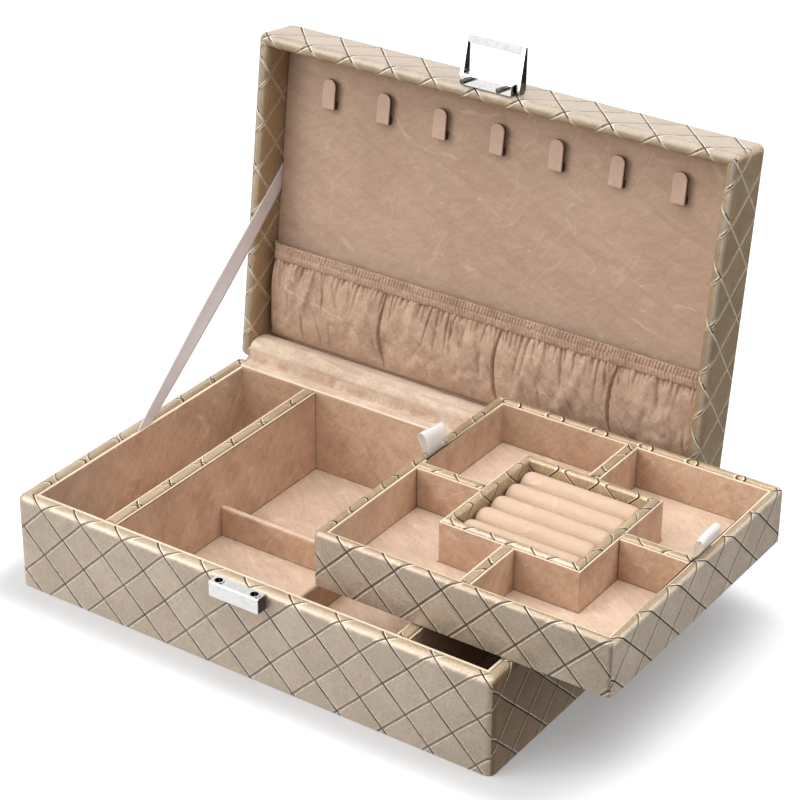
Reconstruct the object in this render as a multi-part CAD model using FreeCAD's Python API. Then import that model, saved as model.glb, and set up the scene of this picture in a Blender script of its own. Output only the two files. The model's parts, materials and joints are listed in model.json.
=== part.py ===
"""Leather jewellery box with a hinged lid, a hasp, a ribbon stay and a lift-out ring tray.

Millimetres, +Z up. The origin is the middle of the base's underside. +X runs along the box
to its right, -Y is the front with the hasp. The lid is built shut and then swung open about
the hinge line to where the ribbon stay holds it. The tray stands crosswise on the rims.
"""
import FreeCAD, Part
import math
import os

# Box body
box_length = 300.0
box_depth = 193.0
base_height = 56.0
corner_radius = 4.0
leather = 1.2
wall_board = 6.0
wall_liner = 2.0
liner_below_rim = 1.5
bottom_cover = 0.8
bottom_cover_inset = 2.5
bottom_board = 2.2
floor_liner = 1.4
rim_outer_radius = 4.0
rim_inner_radius = 2.6
board_chamfer = 1.8

# Full-height dividers and the low ones between them
divider_board = 5.5
divider_liner = 1.5
divider_cap_height = 1.4
low_divider = 4.0

# Lid
lid_height = 30.7
lid_gap = 0.3
lid_open_deg = 97.45
lid_board = 5.1
lid_mouth_depth = 20.0
lid_panel = 3.0
lid_padding_height = 2.0
lid_edge_radius = 3.6
lid_rim_outer_radius = 3.5
lid_rim_inner_radius = 3.0
lid_board_chamfer = 1.5
hinge_outset = 0.1
hinge_rise = 0.2

# Necklace hooks on the lid's panel
hook_count = 7
hook_pitch = 37.0
hook_width = 8.5
hook_length = 17.3
hook_foot = 4.0
hook_gap = 1.8
hook_thick = 2.2
hook_tip_inset = 14.0

# Gathered pocket on the lid's panel
pocket_height = 58.0
pocket_above_hinge = 3.0
pocket_side_gap = 0.5
elastic_width = 9.5
pocket_cloth = 1.0
pocket_depth = 8.2
pocket_inner_seams = [-66.0, 9.6, 82.0]
pocket_folds = [6, 6, 6, 5]
gathers_per_fold = 3

# Hasp
hasp_half = 15.7
catch_height = 9.0
catch_below_rim = 1.0
catch_depth = 6.7
catch_lip_height = 0.4
pin_spacing = 22.4
pin_from_wall = 3.5
pin_radius = 1.6
socket_radius = 2.2
socket_depth = 7.5
pin_length = 7.0
pin_root = 3.4
latch_above_mouth = 0.3
latch_height = 8.6
latch_depth = 6.0
pivot_from_wall = 3.5
pivot_above_mouth = 6.2
pivot_radius = 1.2
pivot_clearance = 0.05
ring_reach = 22.3
ring_arm = 2.2
ring_side_gap = 0.9
ring_end_radius = 3.2
ring_bar_length = 4.0
ring_bar_thick = 1.7
screw_radius = 1.2
screw_head_radius = 2.5
screw_head = 1.2
screw_spacing = 10.0
screw_bite = 3.0
catch_screw_drop = 4.5
latch_screw_rise = 5.3

# Ribbon stay on the left side
stay_width = 12.0
stay_thick = 0.4
stay_off_board = 0.7
stay_base_y = 0.0
stay_base_drop = 9.0
stay_lid_reach = 109.0
stay_lid_half = 7.85
stay_clearance = 0.2

# Cloth over the hinge
lining_side_gap = 0.5
strip_side_inset = 4.0
strip_thick = 1.0
strip_below_rim = 15.0
strip_on_lid = 15.5
cloth_clearance = 0.1

# Lift-out tray
tray_end_clearance = 1.3
tray_bay_clearance = 1.95
tray_nest_drop = 2.3
tray_height = 31.0
tray_overhang = 52.4
tray_lid_gap = 1.5
tray_seat_gap = 0.3
tray_corner = 3.0
tray_board = 3.5
tray_liner = 1.6
tray_liner_below_rim = 1.4
tray_cover = 0.8
tray_cover_inset = 2.5
tray_floor_board = 3.5
tray_floor_liner = 2.0
tray_rim_outer_radius = 2.6
tray_rim_inner_radius = 1.8
tray_board_chamfer = 1.0
tray_divider_board = 4.6
tray_divider_liner = 1.4
tray_cap_height = 1.6
tray_cap_below_rim = 0.4

# Ring box in the middle of the tray
ring_box_half = 41.0
ring_box_liner = 1.3
ring_box_board = 3.2
ring_box_lining = 1.0
ring_box_rim_radius = 1.7
roll_count = 5
roll_gap = 0.1
roll_below_rim = 2.8
roll_end_gap = 0.3

# Ribbon loops that lift the tray
loop_width = 18.0
loop_rise = 14.0
loop_thick = 0.5
loop_tuck = 8.0
loop_left_v = 16.0
loop_right_v = 8.0
loop_half_gap = 1.6
loop_lean = 3.0

# Places that follow from the sizes above
half_l = box_length / 2
half_d = box_depth / 2
board_out_x = half_l - leather
board_out_y = half_d - leather
board_in_x = board_out_x - wall_board
board_in_y = board_out_y - wall_board
inner_x = board_in_x - wall_liner
inner_y = board_in_y - wall_liner
board_top = base_height - leather
floor_board_top = bottom_cover + bottom_board
floor_top = floor_board_top + floor_liner
liner_top = base_height - liner_below_rim
lid_z0 = base_height + lid_gap
lid_z1 = lid_z0 + lid_height
lid_in_x = half_l - 2 * leather - lid_board
lid_in_y = half_d - 2 * leather - lid_board
panel_z = lid_z0 + lid_mouth_depth
panel_back_z = panel_z + lid_panel
padding_z1 = lid_z1 - leather
padding_z0 = padding_z1 - lid_padding_height
hinge_y = half_d + hinge_outset
hinge_z = base_height + hinge_rise
hook_tip_y = -lid_in_y + hook_tip_inset
pocket_bottom_y = lid_in_y - pocket_above_hinge
pocket_top_y = pocket_bottom_y - pocket_height
pocket_end = lid_in_x - pocket_side_gap
pocket_seams = [-pocket_end] + pocket_inner_seams + [pocket_end]
catch_top = base_height - catch_below_rim
catch_bottom = catch_top - catch_height
catch_screw_z = catch_top - catch_screw_drop
latch_bottom = lid_z0 + latch_above_mouth
latch_top = latch_bottom + latch_height
latch_screw_z = lid_z0 + latch_screw_rise
pin_y = -half_d - pin_from_wall
pin_tip_z = latch_bottom - pin_length
pivot_y = -half_d - pivot_from_wall
pivot_z = lid_z0 + pivot_above_mouth
stay_x = -board_in_x + stay_off_board
stay_lid_y = hinge_y - stay_lid_reach
lining_end_x = lid_in_x - lining_side_gap
strip_end_x = half_l - strip_side_inset
tray_half = inner_y - tray_end_clearance
tray_x = half_l + tray_overhang - tray_half
tray_y = half_d - tray_lid_gap - tray_half
tray_z0 = base_height + tray_seat_gap
divider_centre = tray_half + tray_bay_clearance + divider_liner + divider_board / 2
low_divider_top = base_height - tray_height - tray_nest_drop
tray_board_out = tray_half - leather
tray_board_in = tray_board_out - tray_board
tray_in = tray_board_in - tray_liner
tray_floor_z = tray_cover + tray_floor_board
tray_floor_top = tray_floor_z + tray_floor_liner
tray_liner_top = tray_height - tray_liner_below_rim
ring_board_out = ring_box_half - ring_box_liner
ring_board_in = ring_board_out - ring_box_board
ring_in = ring_board_in - ring_box_lining
EPS = 1e-4


def vec(x, y, z):
    """Point or direction."""
    return FreeCAD.Vector(x, y, z)


def block(x0, x1, y0, y1, z0, z1):
    """Box between two corners."""
    return Part.makeBox(x1 - x0, y1 - y0, z1 - z0, vec(x0, y0, z0))


def slab(half_x, half_y, z0, z1):
    """Box centred on the Z axis."""
    return block(-half_x, half_x, -half_y, half_y, z0, z1)


def rod(radius, start, along):
    """Cylinder from a point along a vector."""
    return Part.makeCylinder(radius, along.Length, start, along)


def save(name, *solids):
    """Writes one node; several solids stay separate pieces in it."""
    shape = solids[0] if len(solids) == 1 else Part.makeCompound(list(solids))
    count = len(shape.Solids)
    if not shape.isValid() or count < len(solids):
        raise ValueError("bad shape: %s" % name)
    shape.exportStep("parts/%s.step" % name)
    print("%-24s %2d solids %10.1f mm3" % (name, count, shape.Volume))


def is_upright(edge):
    """True for a straight edge along Z."""
    a = edge.Vertexes[0].Point
    b = edge.Vertexes[-1].Point
    return abs(a.x - b.x) < EPS and abs(a.y - b.y) < EPS and abs(a.z - b.z) > EPS


def lies_at(edge, z):
    """True where every point of the edge has this height."""
    return all(abs(v.Point.z - z) < EPS for v in edge.Vertexes) and len(edge.Vertexes) > 1


def reach_of(edge):
    """How far the middle of an edge is from the Z axis, along X and along Y."""
    middle = edge.valueAt((edge.FirstParameter + edge.LastParameter) / 2)
    return abs(middle.x), abs(middle.y)


def rounded_slab(half_x, half_y, z0, z1, corner):
    """Box with its four upright edges rounded."""
    body = slab(half_x, half_y, z0, z1)
    return body.makeFillet(corner, [e for e in body.Edges if is_upright(e)])


def outside_edges(body, z, hole_x, hole_y):
    """Edges of the outer outline at one height."""
    level = [e for e in body.Edges if lies_at(e, z)]
    return [e for e in level if reach_of(e)[0] > hole_x + EPS or reach_of(e)[1] > hole_y + EPS]


def hole_edges(body, z, hole_x, hole_y):
    """Edges of the inner outline at one height."""
    level = [e for e in body.Edges if lies_at(e, z)]
    return [e for e in level if reach_of(e)[0] <= hole_x + EPS and reach_of(e)[1] <= hole_y + EPS]


def four_walls(frame, inner_half_x, inner_half_y, z0, z1):
    """Front, rear, left and right boards of a frame; the long pair runs through."""
    far = 1000.0
    front = frame.common(block(-far, far, -far, -inner_half_y, z0, z1))
    rear = frame.common(block(-far, far, inner_half_y, far, z0, z1))
    left = frame.common(block(-far, -inner_half_x, -inner_half_y, inner_half_y, z0, z1))
    right = frame.common(block(inner_half_x, far, -inner_half_y, inner_half_y, z0, z1))
    return [wall.Solids[0] for wall in (front, rear, left, right)]


def soft_top(body, z, radius, along_x=True):
    """Rounds the two long top edges of a bar."""
    picked = []
    for edge in body.Edges:
        if not lies_at(edge, z):
            continue
        run = edge.Vertexes[1].Point - edge.Vertexes[0].Point
        if abs(run.x if along_x else run.y) > EPS:
            picked.append(edge)
    return body.makeFillet(radius, picked)


def extrude_yz(points, x0, x1):
    """Solid of constant section in the YZ plane."""
    corners = [vec(x0, y, z) for y, z in points]
    face = Part.Face(Part.makePolygon(corners + corners[:1]))
    return face.extrude(vec(x1 - x0, 0, 0))


def band(path, thick):
    """Outline of a strip of constant thickness along an open path of 2-D points."""
    left, right = [], []
    for i, (a, b) in enumerate(path):
        before = path[max(i - 1, 0)]
        after = path[min(i + 1, len(path) - 1)]
        into = unit(a - before[0], b - before[1]) if i else unit(after[0] - a, after[1] - b)
        out = unit(after[0] - a, after[1] - b) if i < len(path) - 1 else into
        side = unit(-(into[1] + out[1]), into[0] + out[0])
        stretch = thick / 2 / max(0.5, side[0] * -into[1] + side[1] * into[0])
        left.append((a + side[0] * stretch, b + side[1] * stretch))
        right.append((a - side[0] * stretch, b - side[1] * stretch))
    return left + right[::-1]


def unit(a, b):
    """Direction of a 2-D vector."""
    size = math.hypot(a, b)
    return a / size, b / size


def opened(y, z):
    """Where a point of the shut lid lies once the lid is open."""
    turn = math.radians(-lid_open_deg)
    dy, dz = y - hinge_y, z - hinge_z
    return (
        hinge_y + math.cos(turn) * dy - math.sin(turn) * dz,
        hinge_z + math.sin(turn) * dy + math.cos(turn) * dz,
    )


def open_lid(shape):
    """Swings a piece of the shut lid to the open place."""
    swung = shape.copy()
    swung.rotate(vec(0, hinge_y, hinge_z), vec(1, 0, 0), -lid_open_deg)
    return swung


def on_tray(shape):
    """Moves a piece built about the tray's own centre to where the tray stands."""
    placed = shape.copy()
    placed.translate(vec(tray_x, tray_y, tray_z0))
    return placed


def both_sides(shape):
    """The piece and its mirror image across the YZ plane."""
    return [shape, shape.mirror(vec(0, 0, 0), vec(1, 0, 0))]


def make_base_walls():
    """Boards, leather, liners and bottom of the base."""
    frame = rounded_slab(board_out_x, board_out_y, bottom_cover, board_top, corner_radius - leather)
    frame = frame.cut(slab(board_in_x, board_in_y, 0, base_height))
    top_edges = [e for e in frame.Edges if lies_at(e, board_top)]
    frame = frame.makeChamfer(board_chamfer, top_edges)

    skin = rounded_slab(half_l, half_d, 0, base_height, corner_radius)
    skin = skin.makeFillet(rim_outer_radius, [e for e in skin.Edges if lies_at(e, base_height)])
    skin = skin.cut(slab(board_in_x, board_in_y, -1, base_height + 1))
    inner = hole_edges(skin, base_height, board_in_x, board_in_y)
    skin = skin.makeFillet(rim_inner_radius, inner)
    skin = skin.cut(frame)
    skin = skin.cut(slab(half_l - bottom_cover_inset, half_d - bottom_cover_inset, -1, bottom_cover))
    rear_rim = block(-lining_end_x - cloth_clearance, lining_end_x + cloth_clearance,
                     inner_y, half_d + 1, board_top - board_chamfer, base_height + 1)
    skin = skin.cut(rear_rim.cut(block(-half_l, half_l, board_out_y, half_d + 1,
                                       0, board_top)))
    for x in (-screw_spacing / 2, screw_spacing / 2):
        skin = skin.cut(rod(screw_radius + pivot_clearance, vec(x, -half_d - 1, catch_screw_z), vec(0, 3, 0)))

    front, rear, left, right = four_walls(frame, board_in_x, board_in_y, 0, base_height)
    for x in (-screw_spacing / 2, screw_spacing / 2):
        shaft = rod(screw_radius + pivot_clearance, vec(x, -half_d, catch_screw_z), vec(0, 10, 0))
        head = rod(screw_head_radius + pivot_clearance,
                   vec(x, -board_in_y - screw_head, catch_screw_z), vec(0, screw_head, 0))
        front = front.cut(shaft).cut(head)
    save("base_front_board", front)
    save("base_rear_board", rear)
    save("base_left_board", left)
    save("base_right_board", right)
    save("base_leather_wrap", max(skin.Solids, key=lambda s: s.Volume))
    save("base_bottom_board", slab(board_in_x, board_in_y, bottom_cover, floor_board_top))
    cover = rounded_slab(half_l - bottom_cover_inset, half_d - bottom_cover_inset, 0,
                         bottom_cover, 1.5)
    save("base_bottom_cover", cover)

    liners = slab(board_in_x, board_in_y, floor_board_top, liner_top)
    liners = liners.cut(slab(inner_x, inner_y, 0, base_height))
    front_l, rear_l, left_l, right_l = four_walls(liners, inner_x, inner_y, 0, base_height)
    slot_half = stay_width / 2 + stay_clearance
    slot = block(-board_in_x, stay_x + stay_thick / 2, stay_base_y - slot_half, stay_base_y + slot_half,
                 liner_top - stay_base_drop - 1, liner_top + 1)
    save("base_wall_liners", front_l, rear_l, left_l.cut(slot), right_l)


def make_base_dividers():
    """Full-height dividers, the low dividers and the floor liners."""
    half_board = divider_board / 2
    half_all = half_board + divider_liner
    board_in = divider_centre - half_board
    board_out = divider_centre + half_board
    cap_z = liner_top + divider_cap_height / 2 - divider_cap_height
    floors = [
        block(-inner_x, -board_out, -inner_y, inner_y, floor_board_top, floor_top),
        block(-board_in, board_in, -inner_y, inner_y, floor_board_top, floor_top),
        block(board_out, inner_x, -inner_y, inner_y, floor_board_top, floor_top),
    ]
    save("base_floor_liners", *floors)
    board = block(board_in, board_out, -inner_y, inner_y, floor_board_top, cap_z)
    cap = block(board_in, board_out, -inner_y, inner_y, cap_z, cap_z + divider_cap_height)
    cap = soft_top(cap, cap_z + divider_cap_height, divider_cap_height * 0.85, along_x=False)
    faces = [
        block(board_in - divider_liner, board_in, -inner_y, inner_y, floor_top, liner_top),
        block(board_out, board_out + divider_liner, -inner_y, inner_y, floor_top, liner_top),
    ]
    right_board, left_board = both_sides(board)
    right_cap, left_cap = both_sides(cap)
    save("left_divider_board", left_board)
    save("right_divider_board", right_board)
    save("left_divider_cap", left_cap)
    save("right_divider_cap", right_cap)
    save("divider_liners", *(both_sides(faces[0]) + both_sides(faces[1])))

    bay = divider_centre - half_all
    half_low = low_divider / 2
    cross = block(-bay, bay, -half_low, half_low, floor_top, low_divider_top)
    cross = soft_top(cross, low_divider_top, half_low * 0.9)
    front = block(-half_low, half_low, -inner_y, -half_low, floor_top, low_divider_top)
    front = soft_top(front, low_divider_top, half_low * 0.9, along_x=False)
    save("low_cross_divider", cross)
    save("low_front_divider", front)


def make_catch():
    """Metal block with two lipped sockets on the base's front, and its screws."""
    face_y = -half_d
    body = block(-hasp_half, hasp_half, face_y - catch_depth, face_y, catch_bottom, catch_top)
    body = body.makeFillet(0.8, [e for e in body.Edges if reach_of(e)[1] > half_d + EPS])
    for x in (-pin_spacing / 2, pin_spacing / 2):
        lip = rod(socket_radius + 0.8, vec(x, pin_y, catch_top - 1), vec(0, 0, 1 + catch_lip_height))
        body = body.fuse(lip)
    for x in (-pin_spacing / 2, pin_spacing / 2):
        body = body.cut(rod(socket_radius, vec(x, pin_y, catch_top - socket_depth), vec(0, 0, socket_depth + 2)))
    screws = []
    for x in (-screw_spacing / 2, screw_spacing / 2):
        start = vec(x, face_y - screw_bite, catch_screw_z)
        bore = rod(screw_radius + pivot_clearance, start, vec(0, screw_bite + 1, 0))
        body = body.cut(bore)
        shaft = rod(screw_radius, start, vec(0, screw_bite + leather + wall_board, 0))
        head = rod(screw_head_radius, vec(x, -board_in_y - screw_head, catch_screw_z), vec(0, screw_head, 0))
        screws.append(shaft.fuse(head).removeSplitter())
    save("catch_block", body.removeSplitter())
    save("catch_screws", *screws)


def make_hinge_cloth():
    """Velvet lining over the hinge gap and the leather strip outside it."""
    low = board_top + cloth_clearance / 2
    rim_y = lid_in_y + lid_rim_inner_radius
    under = [
        (inner_y + cloth_clearance, low),
        (half_d - 0.6, low),
        opened(half_d - 1.5, lid_z0 - cloth_clearance),
        opened(lid_in_y + 0.5, lid_z0 - cloth_clearance),
        opened(lid_in_y - cloth_clearance, lid_z0 + 0.9),
        opened(lid_in_y - cloth_clearance, panel_z - 0.3),
    ]
    over = [
        opened(lid_in_y - 1.7, panel_z - 0.6),
        opened(lid_in_y - 4.3, panel_z - 7.0),
        opened(lid_in_y - 4.4, panel_z - 13.2),
        opened(lid_in_y - 3.4, panel_z - 17.5),
        opened(lid_in_y - 1.4, lid_z0 - 0.8),
        opened(rim_y + 0.7, lid_z0 - 1.25),
        opened(half_d - 1.0, lid_z0 - 1.35),
        (half_d - 1.15, base_height),
        (inner_y + cloth_clearance, base_height - 0.1),
    ]
    save("hinge_lining", extrude_yz(under + over, -lining_end_x, lining_end_x))

    off = strip_thick / 2
    lid_face = half_d + off + cloth_clearance
    bend = [
        (half_d + off, base_height - strip_below_rim),
        (half_d + off, base_height - 4.5),
        (half_d + off + 0.4, base_height - 2.8),
        (half_d + off + 1.6, base_height - 1.5),
        opened(lid_face, hinge_z + 4.0),
        opened(lid_face, hinge_z + strip_on_lid),
    ]
    save("hinge_leather_strip", extrude_yz(band(bend, strip_thick), -strip_end_x, strip_end_x))


def make_stay():
    """Flat ribbon from the base's left rim to the edge of the lid's panel."""
    low_z = liner_top - stay_base_drop
    half = stay_width / 2
    anchor = [(stay_base_y + half, low_z), (stay_base_y - half, low_z)]
    leaving = [(stay_base_y - half, liner_top), (stay_base_y + half, liner_top)]
    end = panel_z + lid_panel - 0.4
    far = [opened(stay_lid_y - stay_lid_half, end), opened(stay_lid_y + stay_lid_half, end)]
    outline = [anchor[0], anchor[1], leaving[0], far[0], far[1], leaving[1]]
    ribbon = extrude_yz(outline, stay_x - stay_thick / 2, stay_x + stay_thick / 2)
    save("stay_ribbon", ribbon)
    free = math.dist(leaving[0], far[0])
    print("stay free length %.1f mm, flat size %.0f x %.0f mm" % (free, free + stay_base_drop, stay_width))


def make_lid_shell():
    """Boards, padding, leather and inner panel of the lid."""
    core = rounded_slab(board_out_x, board_out_y, lid_z0 + leather, padding_z1, corner_radius - leather)
    skirt_x = lid_in_x + leather
    skirt_y = lid_in_y + leather
    core = core.cut(slab(skirt_x, skirt_y, 0, panel_back_z))
    mouth = [e for e in core.Edges if lies_at(e, lid_z0 + leather)]
    core = core.makeChamfer(lid_board_chamfer, mouth)
    core = core.makeChamfer(lid_padding_height * 0.9, [e for e in core.Edges if lies_at(e, padding_z1)])

    skin = rounded_slab(half_l, half_d, lid_z0, lid_z1, corner_radius)
    skin = skin.makeFillet(lid_edge_radius, [e for e in skin.Edges if lies_at(e, lid_z1)])
    skin = skin.makeFillet(lid_rim_outer_radius, [e for e in skin.Edges if lies_at(e, lid_z0)])
    skin = skin.cut(slab(lid_in_x, lid_in_y, 0, panel_back_z))
    skin = skin.makeFillet(lid_rim_inner_radius, hole_edges(skin, lid_z0, lid_in_x, lid_in_y))
    skin = skin.cut(core)

    front, rear, left, right = four_walls(core, skirt_x, skirt_y, 0, padding_z0)
    for x in (-screw_spacing / 2, screw_spacing / 2):
        bore = rod(screw_radius + pivot_clearance, vec(x, -half_d - 1, latch_screw_z), vec(0, 1 + leather + lid_board, 0))
        head = rod(screw_head_radius + pivot_clearance,
                   vec(x, -skirt_y - screw_head, latch_screw_z), vec(0, screw_head, 0))
        front = front.cut(bore).cut(head)
        skin = skin.cut(bore)
    top = slab(skirt_x, skirt_y, panel_back_z, padding_z0)
    padding = core.common(slab(half_l, half_d, padding_z0, lid_z1))
    panel = slab(lid_in_x, lid_in_y, panel_z, panel_back_z)
    notch_half = stay_lid_half + 0.4
    notch = block(-lid_in_x - 1, stay_x + stay_thick / 2 + 0.1, stay_lid_y - notch_half,
                  stay_lid_y + notch_half + lid_panel * 1.1, panel_z - 1, panel_back_z + 1)
    save("lid_front_board", open_lid(front))
    save("lid_rear_board", open_lid(rear))
    save("lid_left_board", open_lid(left))
    save("lid_right_board", open_lid(right))
    save("lid_top_board", open_lid(top))
    save("lid_padding", open_lid(padding.Solids[0]))
    save("lid_leather_wrap", open_lid(max(skin.Solids, key=lambda s: s.Volume)))
    save("lid_inner_panel", open_lid(panel.cut(notch)))


def make_hooks():
    """Velvet tongues that stand off the panel, open towards the lid's front edge."""
    hooks = []
    first = -hook_pitch * (hook_count - 1) / 2
    top = panel_z - hook_gap
    half = hook_width / 2
    foot_y = hook_tip_y + hook_length - hook_foot
    for i in range(hook_count):
        x = first + i * hook_pitch
        tongue = block(x - half, x + half, hook_tip_y, hook_tip_y + hook_length, top - hook_thick, top)
        tip = [e for e in tongue.Edges if is_upright(e) and e.Vertexes[0].Point.y < hook_tip_y + EPS]
        tongue = tongue.makeFillet(half * 0.92, tip)
        face = [e for e in tongue.Edges if lies_at(e, top - hook_thick)]
        tongue = tongue.makeFillet(hook_thick * 0.45, face)
        foot = block(x - half, x + half, foot_y, hook_tip_y + hook_length, top - 0.2, panel_z)
        hooks.append(open_lid(tongue.fuse(foot).removeSplitter()))
    save("necklace_hooks", *hooks)


def fold_places(gathers):
    """X places where cloth is drawn in, bay by bay, and the bay that each span lies in."""
    places = [pocket_seams[0]]
    for bay, folds in enumerate(pocket_folds):
        start, end = pocket_seams[bay], pocket_seams[bay + 1]
        count = folds * gathers
        for i in range(1, count + 1):
            share = i / count
            drift = 0.25 * math.sin(4.1 * i + bay) / count if i < count else 0.0
            places.append(start + (end - start) * (share + drift))
    return places


def fullness(x):
    """Nought at a seam and one in the middle of a bay."""
    for start, end in zip(pocket_seams, pocket_seams[1:]):
        if start <= x <= end:
            return math.sqrt(max(0.0, math.sin(math.pi * (x - start) / (end - start))))
    return 0.0


def cloth_section(y, depth, swell, gathers):
    """Closed outline of the pocket's cloth across the lid at one height of the pocket."""
    places = fold_places(gathers)
    outer, inner = [], []
    for i in range(len(places) - 1):
        a, b = places[i], places[i + 1]
        m = (a + b) / 2
        crest = swell * (1.0 + 0.3 * math.sin(2.3 * i))
        depths = [depth * fullness(a), depth * fullness(m) + crest, depth * fullness(b)]
        for chain, skin in ((outer, pocket_cloth), (inner, 0.0)):
            chain.append([vec(x, y, panel_z - d - skin) for x, d in zip((a, m, b), depths)])
    edges = [Part.Arc(*points).toShape() for points in outer]
    edges.append(Part.makeLine(outer[-1][2], inner[-1][2]))
    edges += [Part.Arc(c, b, a).toShape() for a, b, c in reversed(inner)]
    edges.append(Part.makeLine(inner[0][0], outer[0][0]))
    return Part.Wire(edges)


def make_pocket():
    """Gathered pocket with its main folds, and the ruched elastic along its mouth."""
    hem_y = pocket_top_y + elastic_width
    run = pocket_bottom_y - hem_y
    full = pocket_depth - pocket_cloth
    rows = [(0.0, 0.84, 0.75), (0.15, 0.95, 0.9), (0.45, 1.0, 0.8), (0.75, 0.85, 0.6), (0.93, 0.4, 0.3), (1.0, 0.02, 0.12)]
    cloth = [cloth_section(hem_y + run * share, full * deep, swell, 1) for share, deep, swell in rows]
    save("lid_pocket", open_lid(Part.makeLoft(cloth, True, True)))
    bands = [(0.0, 0.80, 0.45), (0.2, 0.84, 0.3), (0.85, 0.84, 0.3), (1.0, 0.82, 0.5)]
    ruche = [
        cloth_section(pocket_top_y + elastic_width * share, full * deep, swell, gathers_per_fold)
        for share, deep, swell in bands
    ]
    save("pocket_elastic", open_lid(Part.makeLoft(ruche, True, True)))


def make_latch():
    """Hasp block on the lid, its pins and screws, and the swinging ring."""
    face_y = -half_d
    body = block(-hasp_half, hasp_half, face_y - latch_depth, face_y, latch_bottom, latch_top)
    body = body.makeFillet(0.8, [e for e in body.Edges if reach_of(e)[1] > half_d + EPS])
    pins, pivots, screws = [], [], []
    for x in (-pin_spacing / 2, pin_spacing / 2):
        root = vec(x, pin_y, latch_bottom + pin_root)
        body = body.cut(rod(pin_radius, root, vec(0, 0, -pin_root - 1)))
        pin = rod(pin_radius, root, vec(0, 0, pin_tip_z - root.z))
        tip = [e for e in pin.Edges if abs(reach_z(e) - pin_tip_z) < EPS and len(e.Vertexes) == 1]
        pins.append(open_lid(pin.makeFillet(pin_radius * 0.4, tip)))
    arm_in = hasp_half + ring_side_gap
    arm_out = arm_in + ring_arm
    for side in (-1, 1):
        start = vec(side * (hasp_half - 2.0), pivot_y, pivot_z)
        body = body.cut(rod(pivot_radius, start, vec(side * 4.0, 0, 0)))
        length = arm_out - 0.2 - (hasp_half - 2.0)
        pin = rod(pivot_radius, start, vec(side * length, 0, 0))
        knuckle = rod(pivot_radius + 0.8, vec(side * hasp_half, pivot_y, pivot_z),
                      vec(side * (ring_side_gap - 0.1), 0, 0))
        pivots.append(open_lid(pin.fuse(knuckle).removeSplitter()))
    for x in (-screw_spacing / 2, screw_spacing / 2):
        start = vec(x, face_y - screw_bite, latch_screw_z)
        body = body.cut(rod(screw_radius + pivot_clearance, start, vec(0, screw_bite + 1, 0)))
        shaft = rod(screw_radius, start, vec(0, screw_bite + leather + lid_board, 0))
        head = rod(screw_head_radius, vec(x, -lid_in_y - leather - screw_head, latch_screw_z), vec(0, screw_head, 0))
        screws.append(open_lid(shaft.fuse(head).removeSplitter()))
    save("latch_block", open_lid(body.removeSplitter()))
    save("latch_pins", *pins)
    save("latch_pivot_pins", *pivots)
    save("latch_screws", *screws)

    tip_y = pivot_y - ring_reach
    half_bar = ring_bar_thick / 2
    wedge = [
        (pivot_y, pivot_z + ring_end_radius),
        (tip_y, pivot_z + half_bar),
        (tip_y, pivot_z - half_bar),
        (pivot_y, pivot_z - ring_end_radius),
    ]
    arm = extrude_yz(wedge, arm_in, arm_out)
    eye = rod(ring_end_radius, vec(arm_in, pivot_y, pivot_z), vec(ring_arm, 0, 0))
    arm = arm.fuse(eye)
    arm = arm.cut(rod(pivot_radius + pivot_clearance, vec(arm_in - 1, pivot_y, pivot_z), vec(ring_arm + 2, 0, 0)))
    bar = block(-arm_out, arm_out, tip_y, tip_y + ring_bar_length, pivot_z - half_bar, pivot_z + half_bar)
    right, left = both_sides(arm)
    save("latch_ring", open_lid(right.fuse(left).fuse(bar).removeSplitter()))


def reach_z(edge):
    """Height of the middle of an edge."""
    return edge.valueAt((edge.FirstParameter + edge.LastParameter) / 2).z


def make_tray_shell():
    """Boards, leather, cover and liners of the tray."""
    frame = rounded_slab(tray_board_out, tray_board_out, tray_cover, tray_height - leather, tray_corner - leather)
    frame = frame.cut(slab(tray_board_in, tray_board_in, 0, tray_height))
    frame = frame.makeChamfer(tray_board_chamfer, [e for e in frame.Edges if lies_at(e, tray_height - leather)])
    skin = rounded_slab(tray_half, tray_half, 0, tray_height, tray_corner)
    skin = skin.makeFillet(tray_rim_outer_radius, [e for e in skin.Edges if lies_at(e, tray_height)])
    skin = skin.cut(slab(tray_board_in, tray_board_in, -1, tray_height + 1))
    skin = skin.makeFillet(tray_rim_inner_radius, hole_edges(skin, tray_height, tray_board_in, tray_board_in))
    cover_half = tray_half - tray_cover_inset
    skin = skin.cut(frame).cut(slab(cover_half, cover_half, -1, tray_cover))
    names = ("tray_front_board", "tray_rear_board", "tray_left_board", "tray_right_board")
    for name, wall in zip(names, four_walls(frame, tray_board_in, tray_board_in, 0, tray_height)):
        save(name, on_tray(wall))
    save("tray_floor_board", on_tray(slab(tray_board_in, tray_board_in, tray_cover, tray_floor_z)))
    save("tray_bottom_cover", on_tray(rounded_slab(cover_half, cover_half, 0, tray_cover, 1.5)))
    save("tray_leather_wrap", on_tray(max(skin.Solids, key=lambda s: s.Volume)))

    liners = slab(tray_board_in, tray_board_in, tray_floor_z, tray_liner_top)
    liners = liners.cut(slab(tray_in, tray_in, 0, tray_height))
    front, rear, left, right = four_walls(liners, tray_in, tray_in, 0, tray_height)
    depth = loop_thick * 2 + 0.1
    half = loop_width / 2 + 0.2
    low = tray_liner_top - loop_tuck - 0.2
    left = left.cut(block(-tray_board_in, -tray_board_in + depth, loop_left_v - half, loop_left_v + half, low, tray_height))
    right = right.cut(block(tray_board_in - depth, tray_board_in, loop_right_v - half, loop_right_v + half, low, tray_height))
    save("tray_wall_liners", *[on_tray(part) for part in (front, rear, left, right)])


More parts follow.
